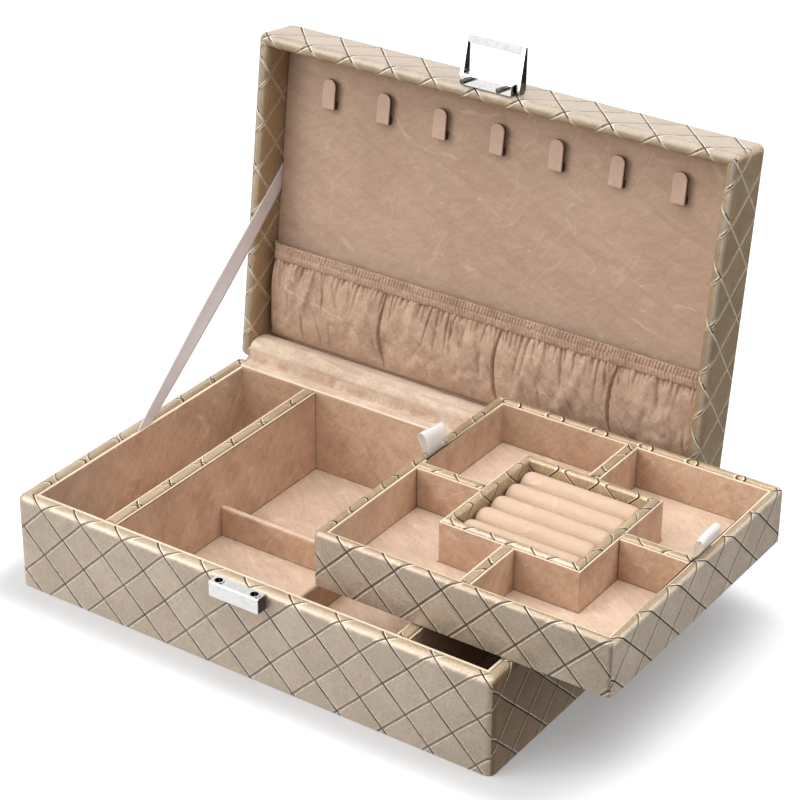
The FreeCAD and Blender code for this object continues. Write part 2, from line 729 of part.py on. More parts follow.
def make_tray_dividers():
    """Four dividers from the ring box to the walls, with liners, caps and floor liners."""
    half = tray_divider_board / 2
    cap_top = tray_height - tray_cap_below_rim
    cap_z = cap_top - tray_cap_height
    board = block(ring_box_half, tray_in, -half, half, tray_floor_z, cap_z)
    cap = block(ring_box_half, tray_in, -half, half, cap_z, cap_top)
    cap = soft_top(cap, cap_top, tray_cap_height * 0.8)
    faces = [
        block(ring_box_half, tray_in, half, half + tray_divider_liner, tray_floor_top, tray_liner_top),
        block(ring_box_half, tray_in, -half - tray_divider_liner, -half, tray_floor_top, tray_liner_top),
    ]
    boards, caps, liners, floors = [], [], [], []
    corner = block(half, tray_in, half, tray_in, tray_floor_z, tray_floor_top)
    corner = corner.cut(slab(ring_box_half, ring_box_half, 0, tray_height))
    for turn in (0, 90, 180, 270):
        for pieces, sources in ((boards, [board]), (caps, [cap]), (liners, faces), (floors, [corner])):
            for source in sources:
                copy = source.copy()
                copy.rotate(vec(0, 0, 0), vec(0, 0, 1), turn)
                pieces.append(on_tray(copy))
    save("tray_dividers", *boards)
    save("tray_divider_caps", *caps)
    save("tray_divider_liners", *liners)
    save("tray_floor_liners", *floors)


def make_ring_box():
    """Square box in the middle of the tray with its rolls."""
    frame = slab(ring_board_out, ring_board_out, tray_floor_z, tray_height - leather)
    frame = frame.cut(slab(ring_board_in, ring_board_in, 0, tray_height))
    frame = frame.makeChamfer(ring_box_rim_radius * 0.5, [e for e in frame.Edges if lies_at(e, tray_height - leather)])
    save("ring_box_walls", *[on_tray(w) for w in four_walls(frame, ring_board_in, ring_board_in, 0, tray_height)])
    skin = slab(ring_board_out, ring_board_out, tray_floor_z, tray_height)
    skin = skin.cut(slab(ring_in, ring_in, 0, tray_height + 1))
    outer = outside_edges(skin, tray_height, ring_in, ring_in)
    skin = skin.makeFillet(ring_box_rim_radius, outer)
    skin = skin.makeFillet(ring_box_rim_radius, hole_edges(skin, tray_height, ring_in, ring_in))
    skin = skin.cut(frame)
    save("ring_box_leather", on_tray(max(skin.Solids, key=lambda s: s.Volume)))
    liners = slab(ring_box_half, ring_box_half, tray_floor_z, tray_liner_top)
    liners = liners.cut(slab(ring_board_out, ring_board_out, 0, tray_height))
    walls = four_walls(liners, ring_board_out, ring_board_out, 0, tray_height)
    save("ring_box_liners", *[on_tray(wall) for wall in walls])

    pitch = 2 * ring_in / roll_count
    rolls = []
    for i in range(roll_count):
        centre = -ring_in + pitch * (i + 0.5)
        rolls.append(on_tray(make_roll(centre, pitch / 2 - roll_gap / 2)))
    save("ring_rolls", *rolls)


def roll_section(x, centre, half, crown):
    """Outline of a roll: flat foot, straight sides and a round crown."""
    foot = tray_floor_z
    side = crown - half * 0.92
    corners = [vec(x, centre - half, foot), vec(x, centre - half, side), vec(x, centre, crown),
               vec(x, centre + half, side), vec(x, centre + half, foot)]
    edges = [
        Part.makeLine(corners[0], corners[1]),
        Part.Arc(corners[1], corners[2], corners[3]).toShape(),
        Part.makeLine(corners[3], corners[4]),
        Part.makeLine(corners[4], corners[0]),
    ]
    return Part.Wire(edges)


def make_roll(centre, half):
    """One padded roll along X with rounded ends."""
    end = ring_in - roll_end_gap
    crown = tray_height - roll_below_rim
    shape = [(1.0, 0.80, 2.6), (0.985, 0.91, 1.2), (0.95, 0.98, 0.35), (0.88, 1.0, 0.0)]
    stations = [(-end * at, half * wide, crown - drop) for at, wide, drop in shape]
    stations += [(end * at, half * wide, crown - drop) for at, wide, drop in reversed(shape)]
    return Part.makeLoft([roll_section(x, centre, w, c) for x, w, c in stations], True, True)


def make_pull_loops():
    """Ribbon loops tucked behind the side liners."""
    off = loop_thick / 2 + 0.025
    base = tray_liner_top
    for name, side, v in (("left_pull_loop", -1, loop_left_v), ("right_pull_loop", 1, loop_right_v)):
        mid = tray_board_in - loop_thick - 0.05
        lean = loop_lean
        path = [(mid - off, base - loop_tuck), (mid - off, base + 0.4)]
        path += [(mid + lean * 0.25 - loop_half_gap * 0.7, base + loop_rise * 0.35),
                 (mid + lean * 0.6 - loop_half_gap, base + loop_rise * 0.7)]
        for angle in (150, 115, 90, 65, 30):
            turn = math.radians(angle)
            path.append((mid + lean * 0.85 + loop_half_gap * math.cos(turn),
                         base + loop_rise - loop_half_gap * (1 - math.sin(turn))))
        path += [(mid + lean * 0.6 + loop_half_gap, base + loop_rise * 0.7),
                 (mid + lean * 0.25 + loop_half_gap * 0.7, base + loop_rise * 0.35)]
        path += [(mid + off, base + 1.0), (mid + off, base - loop_tuck)]
        outline = [vec(side * x, v - loop_width / 2, z) for x, z in band(path, loop_thick)]
        face = Part.Face(Part.makePolygon(outline + outline[:1]))
        save(name, on_tray(face.extrude(vec(0, loop_width, 0))))


def main():
    """Builds every piece and writes it."""
    os.makedirs("parts", exist_ok=True)
    make_base_walls()
    make_base_dividers()
    make_catch()
    make_hinge_cloth()
    make_stay()
    make_lid_shell()
    make_hooks()
    make_pocket()
    make_latch()
    make_tray_shell()
    make_tray_dividers()
    make_ring_box()
    make_pull_loops()


main()
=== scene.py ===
"""Looks of the leather jewellery box: leather, velvet, cloth, ribbon and metal over its frame."""
from __future__ import annotations

import json
import logging
import math
import random
from dataclasses import dataclass, field
from enum import Enum
from typing import Callable, Mapping, Sequence, Union

import bmesh
import bpy
from bmesh.types import BMEdge, BMFace, BMVert, BMesh
from bpy.types import Material, Node, NodeSocket, Object, World
from mathutils import Matrix, Vector, noise

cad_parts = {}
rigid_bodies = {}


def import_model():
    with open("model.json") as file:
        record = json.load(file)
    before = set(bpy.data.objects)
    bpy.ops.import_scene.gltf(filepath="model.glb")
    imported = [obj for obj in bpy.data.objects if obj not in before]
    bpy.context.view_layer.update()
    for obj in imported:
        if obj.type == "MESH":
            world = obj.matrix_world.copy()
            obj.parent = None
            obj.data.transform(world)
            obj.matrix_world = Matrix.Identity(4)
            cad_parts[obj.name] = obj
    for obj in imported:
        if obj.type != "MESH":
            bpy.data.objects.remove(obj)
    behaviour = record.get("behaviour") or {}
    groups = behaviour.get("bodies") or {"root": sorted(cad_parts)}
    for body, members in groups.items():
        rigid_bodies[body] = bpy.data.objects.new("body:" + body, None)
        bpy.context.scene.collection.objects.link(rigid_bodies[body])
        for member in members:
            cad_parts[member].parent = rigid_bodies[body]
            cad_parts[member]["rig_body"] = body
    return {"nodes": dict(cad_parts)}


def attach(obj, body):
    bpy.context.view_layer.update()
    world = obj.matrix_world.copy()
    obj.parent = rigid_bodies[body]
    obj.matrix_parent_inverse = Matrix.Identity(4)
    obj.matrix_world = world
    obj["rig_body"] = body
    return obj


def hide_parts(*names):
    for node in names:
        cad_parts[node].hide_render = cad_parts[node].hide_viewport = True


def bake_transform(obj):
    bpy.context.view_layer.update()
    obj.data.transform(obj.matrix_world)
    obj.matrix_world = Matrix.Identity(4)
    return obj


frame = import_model()

LOG = logging.getLogger("jewellery_box")
MM = 0.001
Colour = tuple[float, float, float]
Pair = tuple[float, float]
Value = Union["Signal", float]
TRAY_CENTRE: Pair = (116.4, 9.0)
LID_PANEL_Z = 76.3
WELD = 2e-6
FLAT_DEG = 0.8
LOOKS_UP = 0.75


@dataclass(frozen=True)
class LidSwing:
    """The hinge line and how far the lid stands open, in millimetres and degrees."""

    hinge_y: float = 96.6
    hinge_z: float = 56.2
    open_deg: float = 97.45

    def matrix(self) -> Matrix:
        """Takes a piece built with the lid shut, in metres, to the open lid."""
        pivot = Matrix.Translation((0.0, self.hinge_y * MM, self.hinge_z * MM))
        return pivot @ Matrix.Rotation(math.radians(-self.open_deg), 4, "X") @ pivot.inverted()

    def opened(self, y: float, z: float) -> Pair:
        """Where a point of the shut lid lies once the lid is open, in millimetres."""
        point = self.matrix() @ Vector((0.0, y * MM, z * MM))
        return point.y / MM, point.z / MM


SWING = LidSwing()


def boards(part: str, flat: str) -> list[str]:
    """Names of a part's four wall boards and its flat one."""
    return [f"{part}_{side}_board" for side in ("front", "rear", "left", "right", flat)]


def waviness(x: float, y: float, z: float) -> float:
    """Smooth noise at a place, from about -1 to 1."""
    return noise.noise(Vector((x, y, z)))


def creasing(x: float, y: float, z: float, width: float) -> float:
    """One along the lines where the noise at a place is nought, falling to nought within a width."""
    return max(0.0, width - abs(waviness(x, y, z))) / width


@dataclass(frozen=True)
class Signal:
    """A number that varies over a surface, with the operators of plain arithmetic."""

    graph: "Graph"
    socket: NodeSocket

    def __add__(self, other: Value) -> "Signal":
        """Sum."""
        return self.graph.math("ADD", self, other)

    __radd__ = __add__

    def __sub__(self, other: Value) -> "Signal":
        """Difference."""
        return self.graph.math("SUBTRACT", self, other)

    def __rsub__(self, other: Value) -> "Signal":
        """Difference from a plain number."""
        return self.graph.math("SUBTRACT", other, self)

    def __mul__(self, other: Value) -> "Signal":
        """Product."""
        return self.graph.math("MULTIPLY", self, other)

    __rmul__ = __mul__

    def __neg__(self) -> "Signal":
        """Opposite."""
        return self.graph.math("MULTIPLY", self, -1.0)

    def size(self) -> "Signal":
        """Absolute value."""
        return self.graph.math("ABSOLUTE", self)

    def sign(self) -> "Signal":
        """One above nought and minus one below."""
        return self.graph.math("SIGN", self)

    def whole(self) -> "Signal":
        """Whole part, rounded down."""
        return self.graph.math("FLOOR", self)

    def part(self) -> "Signal":
        """What is left above the whole part."""
        return self.graph.math("FRACT", self)

    def lesser(self, other: Value) -> "Signal":
        """Smaller of two values."""
        return self.graph.math("MINIMUM", self, other)

    def greater(self, other: Value) -> "Signal":
        """Larger of two values."""
        return self.graph.math("MAXIMUM", self, other)

    def power(self, exponent: float) -> "Signal":
        """Value raised to a plain power."""
        return self.graph.math("POWER", self, exponent)

    def under(self, limit: Value) -> "Signal":
        """One where the value is under the limit."""
        return self.graph.math("LESS_THAN", self, limit)

    def over(self, limit: Value) -> "Signal":
        """One where the value is over the limit."""
        return self.graph.math("GREATER_THAN", self, limit)

    def ease(self, start: float, end: float) -> "Signal":
        """Smooth step from nought to one.

        Args:
            start: The value where it leaves nought.
            end: The value where it reaches one.

        Returns:
            The step.
        """
        sockets = {"Value": self, "From Min": start, "From Max": end}
        found = self.graph.node("ShaderNodeMapRange", {"interpolation_type": "SMOOTHSTEP"}, sockets)
        return Signal(self.graph, found.outputs["Result"])

    def between(self, where_nought: float, where_one: float) -> "Signal":
        """Plain level between two, by this share."""
        return self * (where_one - where_nought) + where_nought

    def choose(self, where_one: Value, where_nought: Value) -> "Signal":
        """One of two values, by this mask."""
        return self * where_one + (1.0 - self) * where_nought


class Graph:
    """Node tree of one finish, or of the surroundings."""

    def __init__(self, owner: Material | World) -> None:
        """Empties the tree of a new material or world.

        Args:
            owner: What the tree belongs to.
        """
        self.owner = owner
        owner.use_nodes = True
        self.tree = owner.node_tree
        self.tree.nodes.clear()
        self.places = self.node("ShaderNodeTexCoord")
        self.place = self.places.outputs["Object"]

    def node(
        self,
        kind: str,
        settings: Mapping[str, object] | None = None,
        sockets: Mapping[str | int, object] | None = None,
    ) -> Node:
        """Adds a node of any kind.

        Args:
            kind: The node's type.
            settings: Its own settings, set before its sockets.
            sockets: Values or links by socket name or number.

        Returns:
            The new node.
        """
        made = self.tree.nodes.new(kind)
        for name, value in (settings or {}).items():
            setattr(made, name, value)
        for key, value in (sockets or {}).items():
            source = value.socket if isinstance(value, Signal) else value
            if isinstance(source, NodeSocket):
                self.tree.links.new(source, made.inputs[key])
            else:
                made.inputs[key].default_value = source
        return made

    def math(self, operation: str, *values: Value) -> Signal:
        """Result of one Math node."""
        made = self.node("ShaderNodeMath", {"operation": operation}, dict(enumerate(values)))
        return Signal(self, made.outputs[0])

    def rays(self, *kinds: str) -> list[Signal]:
        """One where the ray that looks is of a kind, for each kind."""
        seen = self.node("ShaderNodeLightPath").outputs
        return [Signal(self, seen[f"Is {kind} Ray"]) for kind in kinds]

    def split(self, vector: NodeSocket, scale: float = 1.0) -> tuple[Signal, Signal, Signal]:
        """Takes a vector apart.

        Args:
            vector: The vector.
            scale: What each part is multiplied by.

        Returns:
            Its part along each axis.
        """
        parts = self.node("ShaderNodeSeparateXYZ", None, {0: vector}).outputs
        x, y, z = (Signal(self, part) for part in parts)
        return (x, y, z) if scale == 1.0 else (x * scale, y * scale, z * scale)

    def join(self, x: Value, y: Value, z: Value) -> NodeSocket:
        """Vector made of three values."""
        return self.node("ShaderNodeCombineXYZ", None, {0: x, 1: y, 2: z}).outputs[0]

    def stretched(self, vector: NodeSocket, scale: Colour, turn_deg: Colour = (0.0, 0.0, 0.0)) -> NodeSocket:
        """Turns a vector, then stretches it along its new axes, about the origin.

        Args:
            vector: The vector.
            scale: The stretch along each axis.
            turn_deg: The turn about each axis.

        Returns:
            The vector after both.
        """
        turn = tuple(math.radians(angle) for angle in turn_deg)
        shrunk = tuple(1.0 / part for part in scale)
        sockets = {"Vector": vector, "Rotation": turn, "Scale": shrunk}
        return self.node("ShaderNodeMapping", {"vector_type": "TEXTURE"}, sockets).outputs[0]

    def cloud(
        self,
        vector: NodeSocket,
        scale: float,
        detail: float = 2.0,
        rough: float = 0.5,
        swirl: float = 0.0,
    ) -> Signal:
        """Soft noise, from about nought to about one.

        Args:
            vector: Where the noise is read.
            scale: Its repeats per metre.
            detail: Its finer layers.
            rough: The strength of those layers.
            swirl: How much it bends itself.

        Returns:
            The noise.
        """
        sockets = {"Vector": vector, "Scale": scale, "Detail": detail, "Roughness": rough}
        made = self.node("ShaderNodeTexNoise", None, sockets | {"Distortion": swirl})
        return Signal(self, made.outputs[0])

    def dice(self, vector: NodeSocket) -> Signal:
        """A plain random number for each whole vector."""
        return Signal(self, self.node("ShaderNodeTexWhiteNoise", None, {"Vector": vector}).outputs[0])

    def blend(self, first: object, second: object, share: Value) -> NodeSocket:
        """Mix of two colours.

        Args:
            first: Colour or socket where the share is nought.
            second: Colour or socket where the share is one.
            share: How much of the second.

        Returns:
            The mixed colour.
        """
        sockets = {0: share}
        for key, value in ((6, first), (7, second)):
            sockets[key] = (*value, 1.0) if isinstance(value, tuple) else value
        return self.node("ShaderNodeMix", {"data_type": "RGBA"}, sockets).outputs[2]

    def tinted(self, base: NodeSocket, tint: Colour, share: Value) -> NodeSocket:
        """Colour multiplied by a tint, where the share is one."""
        settings = {"data_type": "RGBA", "blend_type": "MULTIPLY"}
        return self.node("ShaderNodeMix", settings, {0: share, 6: base, 7: (*tint, 1.0)}).outputs[2]

    def bumped(self, height_mm: Signal, strength: float = 1.0) -> NodeSocket:
        """Normal of a surface with this height in millimetres."""
        sockets = {"Height": height_mm, "Distance": MM, "Strength": strength}
        return self.node("ShaderNodeBump", None, sockets).outputs[0]

    def surface(self, **sockets: object) -> Material:
        """Ends the tree in one shader.

        Args:
            **sockets: The shader's sockets, with underscores for spaces.

        Returns:
            The finished material.
        """
        named = {}
        for key, value in sockets.items():
            plain = isinstance(value, tuple) and len(value) == 3
            named[key.replace("_", " ")] = (*value, 1.0) if plain else value
        shader = self.node("ShaderNodeBsdfPrincipled", None, named)
        self.node("ShaderNodeOutputMaterial", None, {"Surface": shader.outputs[0]})
        return self.owner


class Wrapping(Enum):
    """How a sheet of pressed leather lies on a piece."""

    AROUND = "round the walls and over their rims"
    OVER_LID = "over the lid's top, down its sides and into its mouth"
    ALONG = "flat along a bar or strip"


@dataclass(frozen=True)
class Lattice:
    """Pressed diamond lattice: grooves lie where across*s + up*t + start is whole, in millimetres."""

    falling: tuple[float, float, float] = (0.0370, 0.0370, 0.0)
    rising: tuple[float, float, float] = (0.0370, -0.0370, 0.5)
    pitch: float = 19.1


@dataclass(frozen=True)
class Relief:
    """Heights of what is pressed into a sheet of leather, in millimetres."""

    pillow: float = 0.20
    bead: float = 0.14
    lean: float = 0.42
    waver: float = 0.9
    grain: float = 0.085
    pebble: float = 0.10
    falling: float = 0.42
    rising: float = 0.34


@dataclass(frozen=True)
class PressedLeather:
    """Pearly coated leather with a pressed lattice and fine grain, with painted shade in its grooves, painted
    highlights beside them and a painted tint on its rims and right-facing walls.
    """

    name: str
    wrapping: Wrapping
    lattice: Lattice = Lattice()
    centre: Pair = (0.0, 0.0)
    half: Pair = (150.0, 96.5)
    wall: float = 7.5
    foot: float = 56.3
    height: float = 30.7
    colour: Colour = (0.455, 0.362, 0.282)
    light: Colour = (0.610, 0.505, 0.400)
    # bright: painted highlight beside the grooves, and in the grooves on the painted walls
    bright: Colour = (0.950, 0.890, 0.750)
    # deep: painted shade in the grooves
    deep: Colour = (0.078, 0.042, 0.013)
    # rim: painted reflection and shade, a tint for the rolled rims
    rim: Colour = (0.98, 0.93, 0.78)
    # turned: painted shade or painted light multiplied into the walls that face right, and into the lid's
    # mouth
    turned: Colour = (0.80, 0.76, 0.64)
    # The share of the grooves that take a painted highlight instead of painted shade on the painted walls.
    painted_groove_highlight: float = 0.0
    grit: float = 1.0
    matt: float = 0.0
    # line: the least strength of the painted shade in the falling grooves
    line: float = 0.55
    falling_groove: Pair = (0.23, 0.52)
    rising_groove: Pair = (0.20, 0.68)
    rising_weight: float = 0.85
    pearl: float = 0.46
    relief: Relief = Relief()
    groove_shade_metal: float = 0.85

    def build(self) -> Material:
        """Makes the material.

        Returns:
            The leather.
        """
        g = Graph(bpy.data.materials.new(self.name))
        s, t, on_rim, side_light_painted = self.sheet_place(g)
        place = g.place
        waver = g.cloud(place, 28.0, 1.0)
        drift = (waver - 0.5) * 1.6
        fall, rise = self.lattice.falling, self.lattice.rising
        u = s * fall[0] + (t + drift) * fall[1] + fall[2]
        v = s * rise[0] + (t - drift) * rise[1] + rise[2]
        past_u = ((u + 0.5).part() - 0.5) * self.lattice.pitch
        past_v = ((v + 0.5).part() - 0.5) * self.lattice.pitch
        to_u, to_v = past_u.size(), past_v.size()
        nearest = to_u.lesser(to_v)
        grain = g.cloud(place, 950.0, 3.0, 0.7)
        pebble = g.cloud(place, 400.0, 2.0, 0.55, 0.6)
        rub = g.cloud(place, 60.0, 3.0, 0.6, 0.4)
        groove_shade_breakup = g.cloud(place, 95.0, 2.0, 0.6).ease(0.30, 0.62)
        drawn = g.cloud(g.stretched(place, (0.35, 1.0, 1.0), (0.0, 38.0, 25.0)), 520.0, 2.0)
        narrow = 1.0 - to_u.ease(*self.falling_groove)
        wide = 1.0 - to_v.ease(*self.rising_groove)
        groove = narrow.greater(wide * self.rising_weight)
        # Painted highlight: a light line along one side of each groove, as if lit from above.
        lit_u = past_u.ease(0.30, 0.62) * (1.0 - past_u.ease(0.75, 1.25))
        lit_v = past_v.ease(0.35, 0.75) * (1.0 - past_v.ease(0.90, 1.50))
        lit_lip = lit_u.greater(lit_v * self.rising_weight) * (1.0 - groove)
        bead = nearest.ease(0.45, 0.85) * (1.0 - nearest.ease(0.85, 1.8))
        pillow = nearest.ease(0.4, 7.0)
        tone = g.dice(g.join(u.whole(), v.whole(), 3.7))
        other = g.dice(g.join(v.whole(), u.whole(), 9.1))
        lean = (u.part() - 0.5) * (tone - 0.5) + (v.part() - 0.5) * (other - 0.5)
        high = self.relief
        grit = (1.0 + on_rim * 0.15) * self.grit
        height = pillow * high.pillow + bead * high.bead + lean * high.lean + waver * high.waver
        height = height + grain * grit * high.grain + pebble * grit * high.pebble
        height = height - narrow * high.falling - wide * high.rising

        share = (rub - 0.5) * 0.9 + (tone - 0.5) * 0.30 + (drawn - 0.5) * 0.5 + 0.38
        share = share + (grain - 0.5) * grit * 1.7
        body = g.blend(self.colour, self.light, share.ease(0.0, 1.0))
        # Painted reflection and shade on the rolled rims.
        body = g.tinted(body, self.rim, on_rim)
        # Painted shade or light: the walls that face right, and the lid's mouth, take the turned tint.
        body = g.tinted(body, self.turned, side_light_painted)
        # The painted highlight is stronger on the rims.
        painted_highlight = lit_lip * (0.55 + (pebble - 0.5) * 1.6 + on_rim * 0.20).lesser(0.95).greater(0.0)
        painted_highlit_body = g.blend(body, self.bright, painted_highlight)
        # Painted shade in the grooves, stronger in the falling ones and broken up by noise.
        falling_groove_shade = narrow * (self.line + groove_shade_breakup * (1.0 - self.line))
        rising_groove_shade = wide * (0.38 * self.line + 0.20 + groove_shade_breakup * 0.22)
        # On the walls with painted shade the grooves take a painted highlight instead.
        groove_shade = falling_groove_shade.greater(rising_groove_shade) * (1.0 - side_light_painted * (self.painted_groove_highlight * 0.5))
        groove_shade_colour = g.blend(self.deep, self.bright, side_light_painted * self.painted_groove_highlight)
        colour = g.blend(painted_highlit_body, groove_shade_colour, groove_shade * (0.95 + (pebble - 0.5) * 0.4).lesser(1.0))
        rough = 0.38 + (grain - 0.5) * 0.55 + (rub - 0.5) * 0.16 + groove * 0.48 - lit_lip * 0.08 + on_rim * 0.05
        metal = (self.pearl - groove * 0.42 - on_rim * 0.10 - side_light_painted * self.matt).greater(0.0)
        metal = metal.greater(groove_shade * (1.0 - side_light_painted * self.painted_groove_highlight) * self.groove_shade_metal)
        return g.surface(
            Base_Color=colour,
            Roughness=rough,
            Metallic=metal,
            Specular_IOR_Level=0.5,
            Normal=g.bumped(height),
        )

    def sheet_place(self, g: Graph) -> tuple[Signal, Signal, Signal, Signal]:
        """Place on the flat sheet that the leather was before it was wrapped, in millimetres.

        Args:
            g: The material's graph.

        Returns:
            The place across the sheet and up it, then masks of the rims and of where shade or light is
            painted: the walls that face right, and for the lid also its mouth.
        """
        x, y, z = g.split(g.place, 1000.0)
        if self.wrapping is Wrapping.ALONG:
            across, up = x - self.centre[0] + z * 0.55, y - self.centre[1] + z * 0.85
            return across, up, z.over(0.0), z.under(0.0)
        if self.wrapping is Wrapping.OVER_LID:
            turn = math.radians(SWING.open_deg)
            dy, dz = y - SWING.hinge_y, z - SWING.hinge_z
            y = dy * math.cos(turn) - dz * math.sin(turn) + SWING.hinge_y
            z = dy * math.sin(turn) + dz * math.cos(turn) + SWING.hinge_z
        x, y = x - self.centre[0], y - self.centre[1]
        half_x, half_y = self.half
        from_x, from_y = half_x - x.size(), half_y - y.size()
        side = from_x.under(from_y)
        depth = from_x.lesser(from_y)
        # The outer wall that faces right, where shade or light is painted.
        right = side * x.over(0.0) * depth.under(1.5)
        if self.wrapping is Wrapping.AROUND:
            along = x.sign() * (y + (half_x + half_y))
            ends = y.under(0.0).choose(x, 2.0 * (half_x + half_y) - x)
            t = z - self.foot + depth
            on_rim = depth.ease(0.6, 2.4)
            return side.choose(along, ends), t, on_rim, right * (1.0 - on_rim)
        rise = z - self.foot
        inside = depth.over(self.wall / 2) * rise.under(self.height - 6.0)
        upper = rise.over(self.height / 2) * (1.0 - inside)
        fold = self.height + inside.choose(rise, -rise) + (1.0 - upper) * depth * 2.0
        on_rim = 1.0 - rise.ease(0.8, 2.6)
        # The lid's mouth and its right wall take painted shade.
        painted_shade_zone = (inside + right).lesser(1.0)
        return x + side * x.sign() * fold, y + (1.0 - side) * y.sign() * fold, on_rim, painted_shade_zone


@dataclass(frozen=True)
class BrushedVelvet:
    """Short-piled suede velvet with brushed marks, crushed lines and a soft sheen."""

    name: str
    colour: Colour = (0.470, 0.300, 0.195)
    brushed: Colour = (0.720, 0.510, 0.365)
    crushed: Colour = (0.880, 0.670, 0.500)
    turn_deg: Colour = (20.0, 35.0, 40.0)
    contrast: float = 1.0
    # fold_shade_y: where a streak of painted shade runs along the fold
    fold_shade_y: float | None = None
    fold_shade_tint: Colour = (0.74, 0.65, 0.57)
    creased: float = 0.42

    def build(self) -> Material:
        """Makes the material.

        Returns:
            The velvet.
        """
        g = Graph(bpy.data.materials.new(self.name))
        place = g.place
        patches = g.cloud(place, 17.0, 3.0, 0.55, 1.4)
        swept = g.stretched(place, (1.0, 0.15, 0.35), self.turn_deg)
        strokes = g.cloud(swept, 290.0, 4.0, 0.66, 0.9)
        crossed = g.stretched(place, (0.22, 1.0, 0.8), (self.turn_deg[1], self.turn_deg[2], self.turn_deg[0]))
        wipes = g.cloud(crossed, 80.0, 3.0, 0.6, 1.5)
        lines = g.cloud(g.stretched(place, (1.0, 0.30, 0.5), (10.0, 50.0, 75.0)), 30.0, 2.0, 0.5, 0.5)
        crease = (1.0 - (lines - 0.5).size().ease(0.0, 0.009)) * wipes.ease(0.48, 0.62)
        scratches = g.cloud(g.stretched(place, (1.0, 0.16, 0.30), (70.0, 25.0, 40.0)), 62.0, 2.0, 0.5, 0.4)
        scratch = (1.0 - (scratches - 0.5).size().ease(0.0, 0.012)) * patches.ease(0.42, 0.60)
        crease = crease.greater(scratch * 0.6)
        nap = g.cloud(place, 1000.0, 2.0, 0.7)
        mottle = g.cloud(place, 330.0, 3.0, 0.65)
        share = (patches - 0.5) * 1.2 + (strokes - 0.5) * 1.7 + (wipes - 0.5) * 1.4
        share = share + (mottle - 0.5) * 0.40 + (nap - 0.5) * 1.2
        body = g.blend(self.colour, self.brushed, (share * self.contrast + 0.5).ease(-0.25, 1.25))
        # Painted shade: a dark streak along the fold.
        if self.fold_shade_y is not None:
            _, y, _ = g.split(place, 1000.0)
            off_fold = (y + (patches - 0.5) * 1.5 - self.fold_shade_y).size()
            in_fold_shade = 1.0 - off_fold.ease(0.3, 2.0)
            body = g.tinted(body, self.fold_shade_tint, in_fold_shade * wipes.ease(0.35, 0.55))
        colour = g.blend(body, self.crushed, crease * self.creased)
        height = nap * 0.09 + strokes * 0.14 + mottle * 0.05 + crease * 0.14 + wipes * 0.30
        return g.surface(
            Base_Color=colour,
            Roughness=0.88 + (strokes - 0.5) * 0.2,
            Specular_IOR_Level=0.25,
            Sheen_Weight=0.16,
            Sheen_Roughness=0.45,
            Sheen_Tint=(1.0, 0.86, 0.74),
            Normal=g.bumped(height),
        )


@dataclass(frozen=True)
class WovenSatin:
    """Ribbon satin: long floats across a fine warp, with a bright smooth face."""

    name: str
    colour: Colour = (0.80, 0.77, 0.78)
    shade: Colour = (0.64, 0.60, 0.62)
    rough: float = 0.34
    clear_z: Pair | None = None

    def build(self) -> Material:
        """Makes the material.

        Returns:
            The satin.
        """
        g = Graph(bpy.data.materials.new(self.name))
        place = g.place
        _, y, z = g.split(place, 1000.0)
        cover = z.ease(*self.clear_z) * 0.46 + 0.10 if self.clear_z else 1.0
        ribs = ((y + z * 0.35) * 2.4).part() - 0.5
        warp = g.cloud(g.stretched(place, (1.0, 6.0, 0.4)), 900.0, 2.0)
        soft = g.cloud(place, 60.0, 3.0, 0.5, 0.4)
        colour = g.blend(self.shade, self.colour, (soft * 0.7 + warp * 0.5).ease(0.25, 0.8))
        height = warp * 0.03 + ribs.size() * 0.02 + soft * 0.25
        return g.surface(
            Base_Color=colour,
            Alpha=cover,
            Roughness=self.rough + (warp - 0.5) * 0.2,
            Specular_IOR_Level=0.5,
            Sheen_Weight=0.3,
            Sheen_Roughness=0.3,
            Normal=g.bumped(height),
        )


@dataclass(frozen=True)
class PlatedMetal:
    """Bright plated metal with faint polishing marks."""

    name: str
    colour: Colour = (0.90, 0.89, 0.87)
    rough: float = 0.10
    # Faces that look along X take painted dark reflection in streaks.
    dark_reflection_ends: bool = False
    dark_reflection_colour: Colour = (0.06, 0.057, 0.054)

    def build(self) -> Material:
        """Makes the material.

        Returns:
            The metal.
        """
        g = Graph(bpy.data.materials.new(self.name))
        place = g.place
        drawn = g.cloud(g.stretched(place, (0.08, 1.0, 1.0)), 2600.0, 2.0, 0.6)
        smears = g.cloud(place, 240.0, 3.0, 0.6, 0.8)
        dull = tuple(part * 0.86 for part in self.colour)
        colour = g.blend(dull, self.colour, smears.ease(0.2, 0.6))
        # Painted reflection: faces that look along X darken in streaks, as if they mirror dark surroundings.
        if self.dark_reflection_ends:
            sideways, _, _ = g.split(g.places.outputs["Normal"])
            streaks = g.cloud(g.stretched(place, (6.0, 0.5, 0.5)), 300.0, 2.0)
            dark_reflection = sideways.size().ease(0.60, 0.85) * (0.65 + streaks * 0.5).lesser(0.96)
            colour = g.blend(colour, self.dark_reflection_colour, dark_reflection)
        rough = self.rough + drawn * 0.08 + smears.ease(0.5, 0.9) * 0.08
        height = drawn * 0.003 + smears * 0.012
        return g.surface(Base_Color=colour, Metallic=1.0, Roughness=rough, Normal=g.bumped(height))


